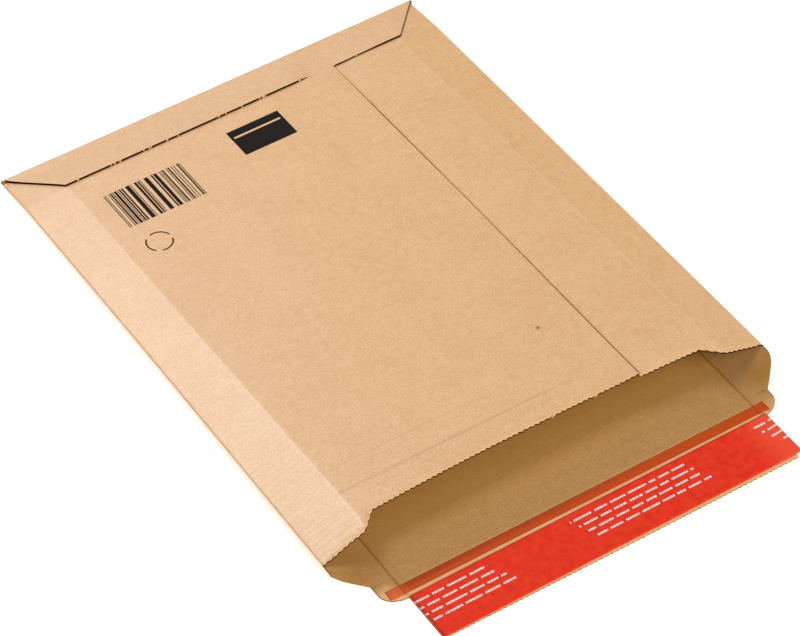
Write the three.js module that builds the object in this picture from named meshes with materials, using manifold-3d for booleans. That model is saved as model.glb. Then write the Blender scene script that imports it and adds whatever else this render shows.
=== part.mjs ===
// Corrugated card envelope for documents, lying on its back with the mouth open.
// One die-cut blank is creased into a base, two gussets and two top panels. The top panels
// are lapped and glued, and a mitred flap is glued over them at the closed end. The closing
// flap lies out flat past the mouth, with a tear strip and a release liner over its glue.
// Millimetres, +Z up, mouth towards -Y, origin on the floor under the middle of the part.

import * as THREE from 'three';
import { mergeVertices } from 'three/addons/utils/BufferGeometryUtils.js';
import Module from 'manifold-3d';

// Board
const BOARD = 1.5;               // thickness of the corrugated board
const PINCH = 0.3;               // air between the base and the top panels at the closed end
const GLUE_BITE = 0.05;          // glued faces press this far into each other

// Blank across its width
const HALF_PANEL = 94;           // centre line to gusset crease
const GUSSET = 23.5;             // gusset crease to side fold
const SEAM = 57;                 // centre line to the free edge of the upper top panel
const LAP = 20;                  // glued lap of the two top panels

// Blank along its length, measured from the closed end
const BOTTOM_FLAP = 25.4;        // depth of the glued flap at the closed end
const BOTTOM_FLAP_CORNER = 1.5;  // its free corners, past the gusset creases
const MOUTH = 293.5;             // mouth edge on the gussets
const MOUTH_RECESS = 9.8;        // mouth edge set back between the gussets
const RECESS_LEAD = 1.5;         // the curve into the recess starts this far out on the gusset
const RECESS_SWEEP = 13;         // width of that curve
const LIP = 17.25;               // base past the mouth, up to the closing-flap crease
const FOLD_TAIL = 7.5;           // side fold past the mouth

// Top panels above the floor, outer face
const LIFT_AT_BOTTOM_FLAP = 7.5; // at the free edge of the bottom flap
const LIFT_AT_MOUTH = 16.5;      // at the mouth

// Wave-cut edges
const WAVE_PITCH = 2.75;
const WAVE_HEIGHT = 0.9;

// Closing flap
const CREASE_GAP = 0.3;          // the crease between the base and the closing flap
const EAR_REACH = 11.3;          // ears at the crease, past the gusset creases
const EAR_SIDE = 5.25;           // straight side of an ear
const EAR_ROUND = 9.3;           // depth of an ear's rounded corner
const FLAP_INSET = 0.2;          // flap sides inside the gusset creases
const FLAP_MARGIN = 2.9;         // card past the release liner

// Tear strip and release liner on the inner face of the closing flap
const TEAR_OFFSET = 5.25;        // closing-flap crease to tear strip
const TEAR_WIDTH = 4.75;
const TEAR_REACH = 6.4;          // ends of the tear strip, past the gusset creases
const TEAR_THICKNESS = 0.2;
const LINER_OFFSET = 2.6;        // tear strip to release liner
const LINER_WIDTH = 25.8;
const LINER_THICKNESS = 0.25;
const LINER_OVERHANG = 2.5;      // the liner's pull end, past the gusset crease

// Facets and cutting
const FOLD_STEPS = 6;            // facets round a fold, an even number
const EAR_STEPS = 8;             // facets round an ear
const SWEEP_STEPS = 8;           // the curve of the bare mouth edge
const TRIM = 3;                  // stock past a cut, taken off by the cutter
const CORNER_STRIP = 2;          // gusset left beside the crease at the closed corners

// Places that follow from the sizes above
const FOLD_RADIUS = (BOARD + PINCH) / 2;                        // mid-face of a side fold
const STRIP = GUSSET - FOLD_RADIUS * Math.PI / 2;               // flat stretch of a gusset
const SIDE = HALF_PANEL + GUSSET;
const CORNER = HALF_PANEL + STRIP;                              // end of the flat at the closed end
const END_HEIGHT = 2 * BOARD + PINCH;
const END_RADIUS = (END_HEIGHT - GLUE_BITE) / 2;                // mid-face of the closed-end fold
const END_START = END_RADIUS + BOARD / 2;                       // top panels start inside that fold
const END_FLAT = END_START + BOARD;                             // panels lie flat up to here
const FOLD_END = MOUTH + FOLD_TAIL;
const FLAP_CREASE = MOUTH + LIP;
const EAR = HALF_PANEL + EAR_REACH;
const FLAP_HALF = HALF_PANEL - FLAP_INSET;
const TEAR_START = FLAP_CREASE + TEAR_OFFSET;
const LINER_START = TEAR_START + TEAR_WIDTH + LINER_OFFSET;
const FLAP_END = LINER_START + LINER_WIDTH + FLAP_MARGIN;
const LENGTH = FLAP_END + WAVE_HEIGHT / 2;

const CARD = new THREE.MeshStandardMaterial({ color: 0xd2a878, roughness: 0.85, metalness: 0 });
const FLAP_CARD = new THREE.MeshStandardMaterial({ color: 0xb08a5c, roughness: 0.85, metalness: 0 });
const TEAR_FILM = new THREE.MeshStandardMaterial({ color: 0xc8501e, roughness: 0.5, metalness: 0 });
const LINER_PAPER = new THREE.MeshStandardMaterial({ color: 0xe8392b, roughness: 0.4, metalness: 0 });

const wasm = await Module();
wasm.setup();

const { lerp, clamp, smoothstep } = THREE.MathUtils;

// Distance from the closed end as a place along Y
function alongY(u) {
  return LENGTH / 2 - u;
}

function toSolid(geometry) {
  const bare = geometry.clone();
  bare.deleteAttribute('normal');
  bare.deleteAttribute('uv');
  const merged = mergeVertices(bare);
  return new wasm.Manifold(new wasm.Mesh({
    numProp: 3,
    vertProperties: new Float32Array(merged.attributes.position.array),
    triVerts: new Uint32Array(merged.index.array),
  }));
}

function toGeometry(solid) {
  const mesh = solid.getMesh();
  const geometry = new THREE.BufferGeometry();
  geometry.setAttribute('position', new THREE.BufferAttribute(mesh.vertProperties, 3));
  geometry.setIndex(new THREE.BufferAttribute(mesh.triVerts, 1));
  geometry.computeVertexNormals();
  return geometry;
}

// Folded sheet of board thickness: a grid of mid-face points, each with the direction of its
// outer face in the section plane, thickened both ways and closed by a rim.
function boardSheet(grid, mirrored) {
  const rows = grid.length;
  const columns = grid[0].length;
  const position = [];
  const index = [];
  const outer = (row, column) => row * columns + column;
  const inner = (row, column) => (rows + row) * columns + column;
  const quad = (a, b, c, d) => {
    const turn = mirrored ? [a, c, b, a, d, c] : [a, b, c, a, c, d];
    index.push(...turn);
  };
  for (const offset of [BOARD / 2, -BOARD / 2]) {
    for (const point of grid.flat()) {
      const u = point.u + point.nu * offset;
      position.push(point.x + point.nx * offset, alongY(u), point.z + point.nz * offset);
    }
  }
  for (let row = 0; row < rows - 1; row += 1) {
    for (let column = 0; column < columns - 1; column += 1) {
      const next = column + 1;
      quad(outer(row, column), outer(row, next), outer(row + 1, next), outer(row + 1, column));
      quad(inner(row, column), inner(row + 1, column), inner(row + 1, next), inner(row, next));
    }
  }
  const rim = [];
  for (let column = 0; column < columns - 1; column += 1) rim.push([0, column]);
  for (let row = 0; row < rows - 1; row += 1) rim.push([row, columns - 1]);
  for (let column = columns - 1; column > 0; column -= 1) rim.push([rows - 1, column]);
  for (let row = rows - 1; row > 0; row -= 1) rim.push([row, 0]);
  rim.forEach((from, place) => {
    const to = rim[(place + 1) % rim.length];
    quad(outer(...to), outer(...from), inner(...from), inner(...to));
  });
  const geometry = new THREE.BufferGeometry();
  geometry.setAttribute('position', new THREE.Float32BufferAttribute(position, 3));
  geometry.setIndex(index);
  return geometry;
}

// Share of the way from the flat closed end to the free edge of the bottom flap
function endRun(u) {
  return clamp((u - END_FLAT) / (BOTTOM_FLAP - END_FLAT), 0, 1);
}

// Height of the top panels' outer face above the floor
function panelHeight(u) {
  if (u < BOTTOM_FLAP) return lerp(END_HEIGHT, LIFT_AT_BOTTOM_FLAP, endRun(u));
  return lerp(LIFT_AT_BOTTOM_FLAP, LIFT_AT_MOUTH, (u - BOTTOM_FLAP) / (MOUTH - BOTTOM_FLAP));
}

// Mid-face of the base to mid-face of the top panels. Past the end of the side fold the base
// part of a gusset goes down flat to the closing-flap crease.
function spreadOfTop(u) {
  return panelHeight(u) - BOARD;
}

function spreadOfBase(u) {
  if (u <= MOUTH) return spreadOfTop(u);
  const run = clamp((u - FOLD_END) / (FLAP_CREASE - FOLD_END), 0, 1);
  return lerp(spreadOfTop(MOUTH), 2 * FOLD_RADIUS, run);
}

// Section of a gusset: the side fold's centre, and for each strip its crease and its slope
function gussetSection(spread, topCrease) {
  const rise = spread / 2;
  const centreX = HALF_PANEL + Math.sqrt(STRIP ** 2 + FOLD_RADIUS ** 2 - rise ** 2);
  const slopeFrom = (crease) => {
    const run = centreX - crease;
    return Math.atan2(rise, run) - Math.asin(FOLD_RADIUS / Math.hypot(run, rise));
  };
  return {
    centreX,
    centreZ: BOARD / 2 + rise,
    topSlope: slopeFrom(topCrease),
    baseSlope: slopeFrom(HALF_PANEL),
  };
}

// Crease of a top panel, which runs out to the corner at the closed end
function topCrease(u) {
  return lerp(CORNER - CORNER_STRIP, HALF_PANEL, endRun(u));
}

function sectionOfTop(u) {
  return gussetSection(spreadOfTop(u), topCrease(u));
}

function sectionOfBase(u) {
  return gussetSection(spreadOfBase(u), topCrease(u));
}

// Columns of the folded sheet, each a line of mid-face points along the length.
// A column gives its point for a distance from the closed end.
function panelColumn(place, drop) {
  return (u) => ({ x: place(u), z: panelHeight(u) - BOARD / 2 - drop, nx: 0, nz: 1 });
}

function topCreaseColumn() {
  return (u) => {
    const lean = sectionOfTop(u).topSlope / 2;
    return { x: topCrease(u), z: panelHeight(u) - BOARD / 2, nx: Math.sin(lean), nz: Math.cos(lean) };
  };
}

function foldColumn(sectionOf, share) {
  return (u) => {
    const section = sectionOf(u);
    const first = Math.PI / 2 - section.topSlope;
    const last = section.baseSlope - Math.PI / 2;
    const angle = lerp(first, last, share);
    const nx = Math.cos(angle);
    const nz = Math.sin(angle);
    return {
      x: section.centreX + FOLD_RADIUS * nx,
      z: section.centreZ + FOLD_RADIUS * nz,
      nx,
      nz,
    };
  };
}

function baseCreaseColumn() {
  return (u) => {
    const lean = sectionOfBase(u).baseSlope / 2;
    return { x: HALF_PANEL, z: BOARD / 2, nx: Math.sin(lean), nz: -Math.cos(lean) };
  };
}

function baseColumn(x) {
  return () => ({ x, z: BOARD / 2, nx: 0, nz: -1 });
}

// One side of the tube, from the free edge of its top panel round to the middle of the base.
// The left side is the right side's mirror image, with its own panel edge.
function tubeSide(side, panelColumns) {
  const quarter = (MOUTH - BOTTOM_FLAP) / 4;
  const shared = [END_START, END_FLAT, BOTTOM_FLAP, BOTTOM_FLAP + quarter, BOTTOM_FLAP + 2 * quarter];
  const baseEnd = FLAP_CREASE - CREASE_GAP / 2;
  const topStops = [...shared, BOTTOM_FLAP + 3 * quarter, MOUTH - MOUTH_RECESS, MOUTH + TRIM];
  const baseStops = [...shared, MOUTH, FOLD_END, baseEnd];
  const columns = panelColumns.map((column) => ({ column, stops: topStops }));
  columns.push({ column: topCreaseColumn(), stops: topStops });
  for (let step = 0; step <= FOLD_STEPS; step += 1) {
    const share = step / FOLD_STEPS;
    const onTop = share < 0.5;
    const sectionOf = onTop ? sectionOfTop : sectionOfBase;
    columns.push({ column: foldColumn(sectionOf, share), stops: onTop ? topStops : baseStops });
  }
  columns.push({ column: baseCreaseColumn(), stops: baseStops });
  columns.push({ column: baseColumn(0), stops: baseStops });
  const grid = topStops.map((_, row) => columns.map(({ column, stops }) => {
    const u = stops[row];
    const point = column(u);
    return { x: side * point.x, u, z: point.z, nx: side * point.nx, nu: 0, nz: point.nz };
  }));
  return toSolid(boardSheet(grid, side > 0));
}

// The left panel lies on the right one, which dips by a board's thickness under the lap
function leftSide() {
  return tubeSide(-1, [panelColumn(() => -SEAM, 0)]);
}

function rightSide() {
  const dip = BOARD - GLUE_BITE;
  return tubeSide(1, [panelColumn(() => SEAM - LAP, dip), panelColumn(() => SEAM, dip)]);
}

// Bottom flap: the base turned up round the closed end and glued down on the top panels
function bottomFlap() {
  const centreZ = BOARD / 2 + END_RADIUS;
  const path = [{ u: END_FLAT, z: BOARD / 2, nu: 0, nz: -1, half: CORNER }];
  for (let step = 0; step <= FOLD_STEPS; step += 1) {
    const angle = Math.PI * (step / FOLD_STEPS);
    const nu = -Math.sin(angle);
    const nz = -Math.cos(angle);
    path.push({ u: END_START + END_RADIUS * nu, z: centreZ + END_RADIUS * nz, nu, nz, half: CORNER });
  }
  const laid = BOARD / 2 - GLUE_BITE;
  const free = HALF_PANEL + BOTTOM_FLAP_CORNER;
  path.push({ u: END_FLAT, z: END_HEIGHT + laid, nu: 0, nz: 1, half: CORNER });
  path.push({ u: BOTTOM_FLAP, z: LIFT_AT_BOTTOM_FLAP + laid, nu: 0, nz: 1, half: free });
  const grid = path.map(({ half, ...point }) => [-half, half].map((x) => ({ x, nx: 0, ...point })));
  return toSolid(boardSheet(grid, true));
}

// Wave-cut edge between two places across the width, as points along the given edge line
function waveEdge(from, to, edgeAt) {
  const teeth = Math.round(Math.abs(to - from) / WAVE_PITCH);
  const points = [];
  for (let step = 0; step <= 2 * teeth; step += 1) {
    const x = lerp(from, to, step / (2 * teeth));
    const wave = step % 2 === 0 ? -WAVE_HEIGHT / 2 : WAVE_HEIGHT / 2;
    points.push(new THREE.Vector2(x, alongY(edgeAt(x) + wave)));
  }
  return points;
}

// Bare mouth edge: straight across the middle, swept forward to the gussets
function mouthEdge(x) {
  const outer = HALF_PANEL + RECESS_LEAD;
  const sweep = smoothstep(Math.abs(x), outer - RECESS_SWEEP, outer);
  return MOUTH - MOUTH_RECESS * (1 - sweep);
}

function extruded(points, bottom, top) {
  const options = { depth: top - bottom, bevelEnabled: false, curveSegments: SWEEP_STEPS };
  return new THREE.ExtrudeGeometry(new THREE.Shape(points), options).translate(0, 0, bottom);
}

// Cutter of the mouth: all that stands above the side folds in front of the wave-cut edge
function mouthCutter() {
  const half = SIDE + TRIM;
  const edge = waveEdge(-half, half, mouthEdge);
  const front = alongY(MOUTH + 2 * TRIM);
  edge.push(new THREE.Vector2(half, front), new THREE.Vector2(-half, front));
  const foldHeight = BOARD / 2 + spreadOfTop(MOUTH) / 2;
  return toSolid(extruded(edge, foldHeight, LIFT_AT_MOUTH + TRIM));
}

// Cutter of the base past the mouth: the outline slants from the side fold in to the ear
function frontCutter(side) {
  const crease = alongY(FLAP_CREASE - CREASE_GAP / 2);
  const tail = alongY(FOLD_END);
  const points = [
    [EAR, crease],
    [SIDE, tail],
    [SIDE + TRIM, tail],
    [SIDE + TRIM, crease - TRIM],
    [EAR, crease - TRIM],
  ];
  const outline = points.map(([x, y]) => new THREE.Vector2(side * x, y));
  return toSolid(extruded(outline, -TRIM, LIFT_AT_MOUTH));
}

function envelopeBody() {
  const folded = leftSide().add(rightSide()).add(bottomFlap());
  const cut = folded.subtract(mouthCutter()).subtract(frontCutter(-1)).subtract(frontCutter(1));
  const mesh = new THREE.Mesh(toGeometry(cut), CARD);
  mesh.name = 'envelope_body';
  return mesh;
}

// Rounded ear of the closing flap, from its straight side in to the flap
function earCurve(side) {
  const centre = alongY(FLAP_CREASE + EAR_SIDE);
  const reach = EAR - FLAP_HALF;
  const points = [];
  for (let step = 0; step <= EAR_STEPS; step += 1) {
    const angle = (Math.PI / 2) * (step / EAR_STEPS);
    const x = FLAP_HALF + reach * Math.cos(angle);
    points.push(new THREE.Vector2(side * x, centre - EAR_ROUND * Math.sin(angle)));
  }
  return points;
}

function closingFlap() {
  const root = alongY(FLAP_CREASE + CREASE_GAP / 2);
  const outline = [
    new THREE.Vector2(-EAR, root),
    ...earCurve(-1),
    ...waveEdge(-FLAP_HALF, FLAP_HALF, () => FLAP_END),
    ...earCurve(1).reverse(),
    new THREE.Vector2(EAR, root),
  ];
  const mesh = new THREE.Mesh(extruded(outline, 0, BOARD), FLAP_CARD);
  mesh.name = 'closing_flap';
  return mesh;
}

// Thin strip laid on the inner face of the closing flap
function flapStrip(name, material, left, right, start, width, thickness) {
  const mesh = new THREE.Mesh(new THREE.BoxGeometry(right - left, width, thickness), material);
  mesh.position.set((left + right) / 2, alongY(start + width / 2), BOARD + thickness / 2);
  mesh.name = name;
  return mesh;
}

function tearStrip() {
  const half = HALF_PANEL + TEAR_REACH;
  return flapStrip('tear_strip', TEAR_FILM, -half, half, TEAR_START, TEAR_WIDTH, TEAR_THICKNESS);
}

function releaseLiner() {
  const right = HALF_PANEL + LINER_OVERHANG;
  return flapStrip('release_liner', LINER_PAPER, -FLAP_HALF, right, LINER_START, LINER_WIDTH, LINER_THICKNESS);
}

const envelope = new THREE.Group();
envelope.add(envelopeBody(), closingFlap(), tearStrip(), releaseLiner());

export default envelope;
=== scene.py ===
# Corrugated card envelope for documents, lying on its back with the mouth open.
# The blank is cut flat, creased and folded in code, then dressed with its tear strip and release liner.
import bmesh
import bpy
import math
import numpy as np
from mathutils import Matrix, Vector
from mathutils.geometry import delaunay_2d_cdt


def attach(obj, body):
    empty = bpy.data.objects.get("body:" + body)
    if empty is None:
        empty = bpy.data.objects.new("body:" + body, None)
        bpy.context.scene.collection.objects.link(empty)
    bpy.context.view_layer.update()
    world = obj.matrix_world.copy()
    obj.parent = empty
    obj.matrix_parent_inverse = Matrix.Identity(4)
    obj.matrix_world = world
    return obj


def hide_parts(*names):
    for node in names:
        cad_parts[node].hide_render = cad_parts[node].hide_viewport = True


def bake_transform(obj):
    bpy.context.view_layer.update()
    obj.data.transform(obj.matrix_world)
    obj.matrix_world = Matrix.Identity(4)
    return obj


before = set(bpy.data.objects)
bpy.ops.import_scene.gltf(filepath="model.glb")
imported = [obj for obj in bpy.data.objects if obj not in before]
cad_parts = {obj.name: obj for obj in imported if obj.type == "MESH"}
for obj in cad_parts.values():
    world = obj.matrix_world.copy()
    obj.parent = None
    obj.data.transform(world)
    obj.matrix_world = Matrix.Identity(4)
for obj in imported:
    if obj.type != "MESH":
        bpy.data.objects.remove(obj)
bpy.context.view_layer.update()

# Camera: a long lens left of the mouth and well above it, as the photograph was taken.
# The lens and the sensor are in millimetres, the turns are in degrees.
CAMERA_PLACE = (-0.61241, -0.98663, 1.18206)
CAMERA_TURN = -31.697
CAMERA_HEIGHT = 45.688
CAMERA_ROLL = -1.546
CAMERA_LENS = 161.685
CAMERA_SENSOR = 36.0
CAMERA_REACH = 50.0


def shown(name, data):
    made = bpy.data.objects.new(name, data)
    bpy.context.scene.collection.objects.link(made)
    return made


camera_data = bpy.data.cameras.new("camera")
camera_data.sensor_width = CAMERA_SENSOR
camera_data.lens = CAMERA_LENS
camera_data.clip_end = CAMERA_REACH
camera_aim = Matrix.Rotation(math.radians(CAMERA_TURN), 3, "Z")
camera_aim = camera_aim @ Matrix.Rotation(math.radians(90 - CAMERA_HEIGHT), 3, "X")
camera_aim = camera_aim @ Matrix.Rotation(math.radians(CAMERA_ROLL), 3, "Z")
camera = shown("camera", camera_data)
camera.location = CAMERA_PLACE
camera.rotation_euler = camera_aim.to_euler()
bpy.context.scene.camera = camera

# Board papers: kraft liners outside and inside, their cut edges, and the core between them, painted dark as
# shade in the open flutes.
# The board's flat cut is its UV map in metres, across the blank and along it, so print and flutes follow it.
# Noises are given as scale and detail, fades and tones as start and end, shares as how far a tint goes.
OUTSIDE_PALE = (0.722, 0.442, 0.211, 1.0)
OUTSIDE_DEEP = (0.628, 0.336, 0.140, 1.0)
# The inside of the pouch: the kraft painted darker than it is, as shade.
SHADED_INSIDE_PALE = (0.440, 0.233, 0.083, 1.0)
SHADED_INSIDE_DEEP = (0.368, 0.185, 0.057, 1.0)
# Painted light deep in the pouch, paler and warmer, as bounced light.
DEEP_POUCH_LIGHT = (0.640, 0.318, 0.050, 1.0)
# Painted shade on the gussets' insides near the mouth.
GUSSET_SHADE_BROWN = (0.240, 0.112, 0.022, 1.0)
FLAP_PALE = (0.684, 0.410, 0.202, 1.0)
FLAP_DEEP = (0.616, 0.327, 0.143, 1.0)
CUT_PAPER = (0.480, 0.262, 0.098, 1.0)
CUT_PAPER_DARK = (0.275, 0.134, 0.045, 1.0)
# The core between the liners: painted dark as the shade in the open flutes.
CORE_SHADE_BROWN = (0.094, 0.016, 0.001, 1.0)
CORE_SHADE_DARK = (0.036, 0.006, 0.001, 1.0)
# Painted shade on the flute ridges; also the colour of the pressed lines.
FLUTE_SHADE_AND_LINE_BROWN = (0.420, 0.215, 0.085, 1.0)
# Painted shadow in the seam's groove; also the colour of the one stain.
SHADE_AND_STAIN_BROWN = (0.235, 0.080, 0.008, 1.0)
# Painted shade in the inner score at each base crease.
SCORE_SHADE_BROWN = (0.190, 0.066, 0.006, 1.0)
# A painted highlight along the outer creases and the glued flap's free edge.
CREASE_HIGHLIGHT_PALE = (0.86, 0.63, 0.43, 1.0)
INK = (0.005, 0.003, 0.002, 1.0)

MOTTLE = (1250.0, 3.0)
CLOUDS, CLOUDS_SHARE = (45.0, 3.0), 0.2
FLOCKS, FLOCKS_SHARE = (240.0, 2.0), 0.34
PAPER_TONES = (0.66, 0.88)
FIBRE_LAYS = ((0.45, 0.0), (-0.6, 3.0))
FIBRE_SCALE = (260.0, 3200.0, 1.0)
FIBRE_TONES = (0.60, 0.72)
FIBRE_PALE, FIBRE_PALE_SHARE = (0.86, 0.64, 0.44, 1.0), 0.16
FIBRE_DARK, FIBRE_DARK_SHARE = (0.30, 0.16, 0.07, 1.0), 0.14
SPECK_BROWN, SPECK_SHARE = (0.16, 0.09, 0.05, 1.0), 0.62
SPECK_CELLS = 62.0
SPECK_SIZE = 0.036
SPECK_CHANCE = 0.76
MOTTLE_HEIGHT = 1.1e-5
FIBRE_HEIGHT = 0.5e-5

FLUTE_PITCH = 0.0034
FLUTE_PATCHES = (22.0, 1.0)
FLUTE_PATCH_TONES = (0.40, 0.68)
FLUTE_LEAST = 0.25
FLUTE_SHADE = 0.20
OUTSIDE_FLUTES = 3.5e-5
INSIDE_FLUTES = 0.7e-5
SHOWN_FLUTES = (-0.1412, -0.1185, 0.0, 0.3)
SHOWN_FLUTES_FADE = (0.10, 0.24)
OTHER_FLUTES_SHARE = 0.07

# Faint lines pressed across the left panel: place along, half width, left end, right end and strength.
PRESSED_LINES = (
    (0.2540, 0.0007, -0.236, -0.138, 0.55),
    (0.2580, 0.0005, -0.215, -0.140, 0.30),
    (0.2680, 0.0008, -0.275, -0.138, 1.00),
    (0.2735, 0.0006, -0.300, -0.150, 0.35),
    (0.2790, 0.0006, -0.310, -0.170, 0.35),
)
LINE_WANDER, LINE_WANDER_REACH = (60.0, 1.0), 0.0009
LINE_FADE_LEFT = 0.03
LINE_FADE_RIGHT = 0.003
PRESSED_DEPTH = 4e-5

# Print and marks on the outside: fields are left, right, start and end.
BARS = (-0.1932, -0.1512, 0.0415, 0.0680)
BAR_WIDTH = 0.00044
BAR_GAPS = 0.43
BLOCK = (-0.2515, -0.2225, 0.0364, 0.0555)
BLOCK_STRIPE = (-0.2500, -0.2240, 0.0412, 0.0424)
RING_PLACE = (-0.158, 0.084)
RING_RADIUS = 0.0064
RING_HALF_LINE = 0.0004
RING_PARTS = 3.0
RING_BREAK = -0.75
STAIN_PLACE = (-0.270, 0.233, 0.0)
STAIN_RADIUS = 0.0017
# How far each tint goes: pressed lines, painted crease highlight, painted shadow in the seam, stain, print.
PRESSED_SHARE = 0.55
CREASE_HIGHLIGHT_SHARE = 0.16
GAP_SHADOW_SHARE = 0.92
STAIN_SHARE = 0.85
INK_SHARE = 0.99
OUTSIDE_ROUGHNESS = (-0.62, 1.0)
OUTSIDE_SPECULAR = 0.90
DULL_METALLIC = 0.6

# Painted light and shade inside: the pouch darker than the flap, the gussets darker still, the pouch's depth
# paler and warmer.
POUCH_SHADE_EDGE = (0.3150, 0.3205)
LEFT_EAR_LIGHT_FADE, LEFT_EAR_LIGHT_SHIFT = (-0.0945, -0.0985), 0.0035
# Painted shade on the right side past the crease: the right ear and gusset take the pouch's darker colour.
RIGHT_EAR_SHADE_FADE, RIGHT_EAR_SHADE_SHARE = (0.0945, 0.0990), 0.72
DEEP_POUCH_LIGHT_FADE, DEEP_POUCH_LIGHT_SHARE = (0.303, 0.284), 0.46
# Where the gussets are painted darker as shade, more on the right.
GUSSET_FADE = (0.0945, 0.1060)
GUSSET_START = (0.292, 0.303)
GUSSET_END = (0.318, 0.307)
GUSSET_SHADE_SHARE = 0.55
RIGHT_GUSSET_MORE_SHADE = 0.22
# Painted shade in the inner score.
SCORE_SHADE_SHARE = 0.62
INSIDE_ROUGHNESS = 0.9
INSIDE_SPECULAR = 0.08

EDGE_TONES = (0.32, 0.68)
EDGE_DETAIL = 4.0
EDGE_HEIGHT = 4e-5


def feed(tree, socket, value):
    if isinstance(value, bpy.types.NodeSocket):
        tree.links.new(value, socket)
    else:
        socket.default_value = value


def add(tree, kind, inputs=(), **settings):
    made = tree.nodes.new(kind)
    for name, value in settings.items():
        setattr(made, name, value)
    for key, value in dict(inputs).items():
        feed(tree, made.inputs[key], value)
    return made


def maths(tree, operation, first, second=0.0):
    return add(tree, "ShaderNodeMath", {0: first, 1: second}, operation=operation).outputs[0]


def times(tree, first, *others):
    for other in others:
        first = maths(tree, "MULTIPLY", first, other)
    return first


def plus(tree, first, second):
    return maths(tree, "ADD", first, second)


def minus(tree, first, second):
    return maths(tree, "SUBTRACT", first, second)


def between(tree, value, low, high):
    inputs = {"Value": value, "From Min": low, "From Max": high}
    return add(tree, "ShaderNodeMapRange", inputs).outputs[0]


def mixed(tree, factor, first, second):
    return add(tree, "ShaderNodeMix", {0: factor, 6: first, 7: second}, data_type="RGBA").outputs[2]


def noise(tree, place, scale, detail):
    inputs = {"Vector": place, "Scale": scale, "Detail": detail}
    return add(tree, "ShaderNodeTexNoise", inputs).outputs[0]


def split(tree, place):
    parts = add(tree, "ShaderNodeSeparateXYZ", {0: place}).outputs
    return parts[0], parts[1]


def flat_place(tree):
    place = add(tree, "ShaderNodeUVMap", uv_map="flat_cut").outputs[0]
    return place, *split(tree, place)


def painted(tree, name):
    return add(tree, "ShaderNodeAttribute", attribute_name=name).outputs["Fac"]


def raised(tree, height):
    return add(tree, "ShaderNodeBump", {"Height": height, "Distance": 1.0}).outputs[0]


def new_group(name, inputs, outputs, kind="ShaderNodeTree"):
    group = bpy.data.node_groups.new(name, kind)
    for way, sockets in (("INPUT", inputs), ("OUTPUT", outputs)):
        for label, socket in sockets.items():
            group.interface.new_socket(label, in_out=way, socket_type="NodeSocket" + socket)
    return group, add(group, "NodeGroupInput").outputs, add(group, "NodeGroupOutput").inputs


def use_group(tree, group, inputs):
    return add(tree, "ShaderNodeGroup", inputs, node_tree=group).outputs


def new_material(name):
    material = bpy.data.materials.new(name)
    material.use_nodes = True
    return material, material.node_tree


def dressed(material, looks):
    tree = material.node_tree
    for name, value in looks.items():
        feed(tree, tree.nodes["Principled BSDF"].inputs[name], value)
    return material


def kraft_paper_group():
    group, given, made = new_group(
        "kraft_paper",
        {"Place": "Vector", "Pale": "Color", "Deep": "Color"},
        {"Colour": "Color", "Height": "Float"},
    )
    place = given["Place"]
    mottle = noise(group, place, *MOTTLE)
    tone = plus(group, times(group, noise(group, place, *CLOUDS), CLOUDS_SHARE), mottle)
    tone = plus(group, times(group, noise(group, place, *FLOCKS), FLOCKS_SHARE), tone)
    colour = mixed(group, between(group, tone, *PAPER_TONES), given["Deep"], given["Pale"])
    fibres = []
    for turn, shift in FIBRE_LAYS:
        inputs = {"Vector": place, "Location": (shift, shift, 0.0), "Rotation": (0.0, 0.0, turn),
                  "Scale": FIBRE_SCALE}
        laid = add(group, "ShaderNodeMapping", inputs).outputs[0]
        fibres.append(between(group, noise(group, laid, 1.0, 1.0), *FIBRE_TONES))
    colour = mixed(group, times(group, fibres[0], FIBRE_PALE_SHARE), colour, FIBRE_PALE)
    colour = mixed(group, times(group, fibres[1], FIBRE_DARK_SHARE), colour, FIBRE_DARK)
    cells = add(group, "ShaderNodeTexVoronoi", {"Vector": place, "Scale": SPECK_CELLS})
    chosen = add(group, "ShaderNodeSeparateColor", {0: cells.outputs["Color"]}).outputs
    speck = maths(group, "LESS_THAN", cells.outputs["Distance"], times(group, chosen[0], SPECK_SIZE))
    speck = times(group, speck, maths(group, "GREATER_THAN", chosen[1], SPECK_CHANCE), SPECK_SHARE)
    colour = mixed(group, speck, colour, SPECK_BROWN)
    height = plus(group, times(group, mottle, MOTTLE_HEIGHT), times(group, fibres[0], FIBRE_HEIGHT))
    group.links.new(colour, made["Colour"])
    group.links.new(height, made["Height"])
    return group


def washboard_group():
    group, given, made = new_group(
        "washboard",
        {"Place": "Vector", "Pitch": "Float", "Depth": "Float"},
        {"Height": "Float", "Shade": "Float"},
    )
    along = split(group, given["Place"])[1]
    turn = times(group, maths(group, "DIVIDE", along, given["Pitch"]), math.tau)
    share = between(group, noise(group, given["Place"], *FLUTE_PATCHES), *FLUTE_PATCH_TONES)
    ridge = times(group, maths(group, "SINE", turn), plus(group, share, FLUTE_LEAST))
    group.links.new(times(group, ridge, given["Depth"]), made["Height"])
    group.links.new(ridge, made["Shade"])
    return group


def printed_field_group():
    group, given, made = new_group(
        "printed_field",
        {"Place": "Vector", "Left": "Float", "Right": "Float", "Start": "Float", "End": "Float"},
        {"Mask": "Float"},
    )
    across, along = split(group, given["Place"])
    mask = maths(group, "GREATER_THAN", across, given["Left"])
    for operation, value, limit in (
        ("LESS_THAN", across, "Right"),
        ("GREATER_THAN", along, "Start"),
        ("LESS_THAN", along, "End"),
    ):
        mask = times(group, mask, maths(group, operation, value, given[limit]))
    group.links.new(mask, made["Mask"])
    return group


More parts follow.
